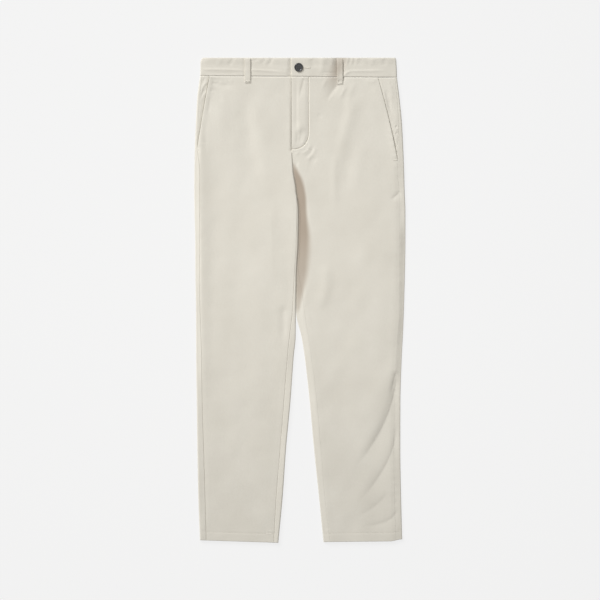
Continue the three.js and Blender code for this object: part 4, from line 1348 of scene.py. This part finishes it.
# %% Sewing thread
def thread_material(name, darkest, lightest):
    """Matt cotton thread, mottled between two shades by its ply, with a fine bump."""
    material = bpy.data.materials.new(name)
    material.use_nodes = True
    tree = material.node_tree
    shader = tree.nodes["Principled BSDF"]
    shader.inputs["Roughness"].default_value = 0.8
    shader.inputs["Sheen Weight"].default_value = 0.2
    place_at = node(tree, "ShaderNodeTexCoord")
    ply = node(tree, "ShaderNodeTexNoise", Scale=3200.0, Detail=1.0)
    tree.links.new(place_at.outputs["Object"], ply.inputs["Vector"])
    shades = node(tree, "ShaderNodeMix", data_type="RGBA")
    shades.inputs[6].default_value = darkest
    shades.inputs[7].default_value = lightest
    tree.links.new(ply.outputs["Fac"], shades.inputs["Factor"])
    tree.links.new(shades.outputs[2], shader.inputs["Base Color"])
    bump = node(tree, "ShaderNodeBump", Strength=0.4, Distance=0.0001)
    tree.links.new(ply.outputs["Fac"], bump.inputs["Height"])
    tree.links.new(bump.outputs["Normal"], shader.inputs["Normal"])
    return material


thread = thread_material("sewing_thread", (0.74, 0.70, 0.62, 1), (0.86, 0.83, 0.76, 1))
button_thread = thread_material("button_thread", (0.06, 0.06, 0.06, 1), (0.13, 0.13, 0.125, 1))

# %% Rows of sewing on the cloth
left, right = SIDES["left"], SIDES["right"]


def sew_fly():
    """The J: down along the fly, then round its corner to the lap."""
    x, down = fly_path(60)
    sewn_part = (down > BAND_DEPTH + 2) & (x > LAP_X + 1.5)
    return row_of_stitches(left, front_surface, x[sewn_part], down[sewn_part])


def sew_hem(side):
    """Once across the front at the top of the turned hem."""
    s = section(side, np.array([LENGTH - HEM_DEPTH]))
    inner, outer = float(s["inner"][0]), float(s["outer"][0])
    x = np.linspace(inner + side["out"] * 3, outer - side["out"] * 3, 120)
    return row_of_stitches(side, front_surface, x, np.full(120, LENGTH - HEM_DEPTH), 2.0, 1.6)


def sew_loop(side):
    """Both long edges of a belt loop, and a tack across its lower end."""
    middle, end = LOOPS[side["name"]]
    down = np.linspace(LOOP_TOP + 2, end - 2, 60)
    rows = []
    for edge in (-1, 1):
        x = np.full(60, middle + edge * (LOOP_WIDTH / 2 - LOOP_ROWS_IN))
        rows.append(row_of_stitches(side, loop_surface, x, down))
    x = np.linspace(middle - 4.6, middle + 4.6, 20)
    rows.append(bar_tack(side, loop_surface, x, np.full(20, end - 3.4), 1.7))
    return rows


sewn("sewing_fly", [sew_fly()], thread)
sewn("sewing_hems", [sew_hem(side) for side in SIDES.values()], thread)
sewn("sewing_loops", [row for side in SIDES.values() for row in sew_loop(side)], thread)

# %% Bar tacks and buttonhole
# side, from x, from down, to x, to down
TACKS = [
    ("right", -220.8, 197.5, -217.6, 197.5),
    ("right", -220.8, 206.0, -217.6, 206.0),
    ("left", 201.0, 220.6, 209.5, 219.8),
    ("left", -17.0, 193.0, -8.5, 196.0),
]
HOLE_FROM, HOLE_TO, HOLE_DOWN = 7.5, 21.5, 21.9
HOLE_BEAD = 1.15


def sew_tacks():
    """The tacks at the ends of the pockets and at the end of the fly."""
    rows = []
    for name, from_x, from_down, to_x, to_down in TACKS:
        x, down = np.linspace(from_x, to_x, 12), np.linspace(from_down, to_down, 12)
        rows.append(bar_tack(SIDES[name], front_surface, x, down, 1.7))
    return rows


def sew_buttonhole():
    """Two beads of close thread with the slit between them, joined by a tack at the end."""
    rows = []
    x = np.linspace(HOLE_FROM, HOLE_TO, 30)
    for edge in (-1, 1):
        down = np.full(30, HOLE_DOWN + edge * 0.75)
        rows.append(bar_tack(left, band_surface, x, down, HOLE_BEAD))
    down = np.linspace(HOLE_DOWN - 1.4, HOLE_DOWN + 1.4, 10)
    rows.append(bar_tack(left, band_surface, np.full(10, HOLE_TO + 0.3), down, 1.2))
    return rows


def sew_button():
    """Two bars of thread, each of three strands, from hole to hole."""
    stands = float(band_surface(left, BUTTON_X, BUTTON_DOWN)) + BUTTON_STAND
    base = stands + BUTTON_HIGH - BUTTON_DISH
    reach = HOLE_AT * math.sqrt(0.5)
    centre, along = [], []
    for bar in (-reach, reach):
        for strand in (-0.45, 0.0, 0.45):
            centre.append((BUTTON_X + bar + strand, WAIST_TOP_Y - BUTTON_DOWN, base + 0.1))
            along.append((0.0, 1.0, 0.0))
    return spindles(np.array(centre), np.array(along), 2 * reach + 0.9, 0.55, 0.45)


sewn("sewing_tacks", sew_tacks(), thread)
sewn("sewing_buttonhole", sew_buttonhole(), thread)
sewn("sewing_button", [sew_button()], button_thread)

# %% [markdown]
# The setting. The photograph was taken from straight above in soft studio light, with the
# garment cut out on a pale ground. So the floor is a plain pale sheet that glows a little,
# which keeps it even, and the light is a broad one from the upper left over an even fill, with
# a weak lamp overhead that lifts the middle a little. An orthographic camera looks straight
# down, because the photograph shows no perspective.

# %% Floor, light and camera
FRAME_WIDE = 1.29
FLOOR_HALF = 12.0
FLOOR_Z = -0.0004
KEY_PLACE = (-5.7, 6.5, 5.1)
KEY_SIZE = 5.0
KEY_WATTS = 914.0
KEY_COLOUR = (1.0, 1.0, 1.0)
FILL_COLOUR = (1.0, 0.985, 0.955)
OVERHEAD_PLACE = (-0.03, 0.12, 0.85)
OVERHEAD_SIZE = 0.8
OVERHEAD_WATTS = 1.6
FILL_STRENGTH = 0.30
FLOOR_GLOW = 0.795
FLOOR_GREY = 0.12


def make_floor():
    """One wide square just under the garment."""
    half = FLOOR_HALF
    corners = [(-half, -half, FLOOR_Z), (half, -half, FLOOR_Z), (half, half, FLOOR_Z),
               (-half, half, FLOOR_Z)]
    mesh = bpy.data.meshes.new("floor")
    mesh.from_pydata(corners, [], [(0, 1, 2, 3)])
    material = bpy.data.materials.new("pale_ground")
    material.use_nodes = True
    shader = material.node_tree.nodes["Principled BSDF"]
    shader.inputs["Base Color"].default_value = (FLOOR_GREY, FLOOR_GREY, FLOOR_GREY, 1)
    shader.inputs["Roughness"].default_value = 1.0
    shader.inputs["Specular IOR Level"].default_value = 0.0
    shader.inputs["Emission Color"].default_value = (1, 1, 1, 1)
    shader.inputs["Emission Strength"].default_value = FLOOR_GLOW
    mesh.materials.append(material)
    floor = bpy.data.objects.new("floor", mesh)
    bpy.context.scene.collection.objects.link(floor)


def make_lamp(name, place_at, size, watts, colour):
    """A round lamp that faces the middle of the garment."""
    lamp = bpy.data.lights.new(name, "AREA")
    lamp.shape = "DISK"
    lamp.size = size
    lamp.energy = watts
    lamp.color = colour
    holder = bpy.data.objects.new(name, lamp)
    holder.location = place_at
    x, y, z = place_at
    holder.rotation_euler = (math.atan2(math.hypot(x, y), z), 0, math.atan2(y, x) + math.pi / 2)
    bpy.context.scene.collection.objects.link(holder)


def make_light():
    """Two lamps, and the same pale light from all round."""
    make_lamp("key", KEY_PLACE, KEY_SIZE, KEY_WATTS, KEY_COLOUR)
    make_lamp("overhead", OVERHEAD_PLACE, OVERHEAD_SIZE, OVERHEAD_WATTS, FILL_COLOUR)
    world = bpy.data.worlds.new("studio")
    world.use_nodes = True
    sky = world.node_tree.nodes["Background"]
    sky.inputs["Color"].default_value = (*FILL_COLOUR, 1)
    sky.inputs["Strength"].default_value = FILL_STRENGTH
    bpy.context.scene.world = world


def make_camera():
    """Parallel view from straight above, as wide as the photograph's ground."""
    lens = bpy.data.cameras.new("camera")
    lens.type = "ORTHO"
    lens.ortho_scale = FRAME_WIDE
    camera = bpy.data.objects.new("camera", lens)
    camera.location = (0, 0, 2.0)
    bpy.context.scene.collection.objects.link(camera)
    bpy.context.scene.camera = camera


make_floor()
make_light()
make_camera()
bpy.context.scene.view_settings.view_transform = "Standard"
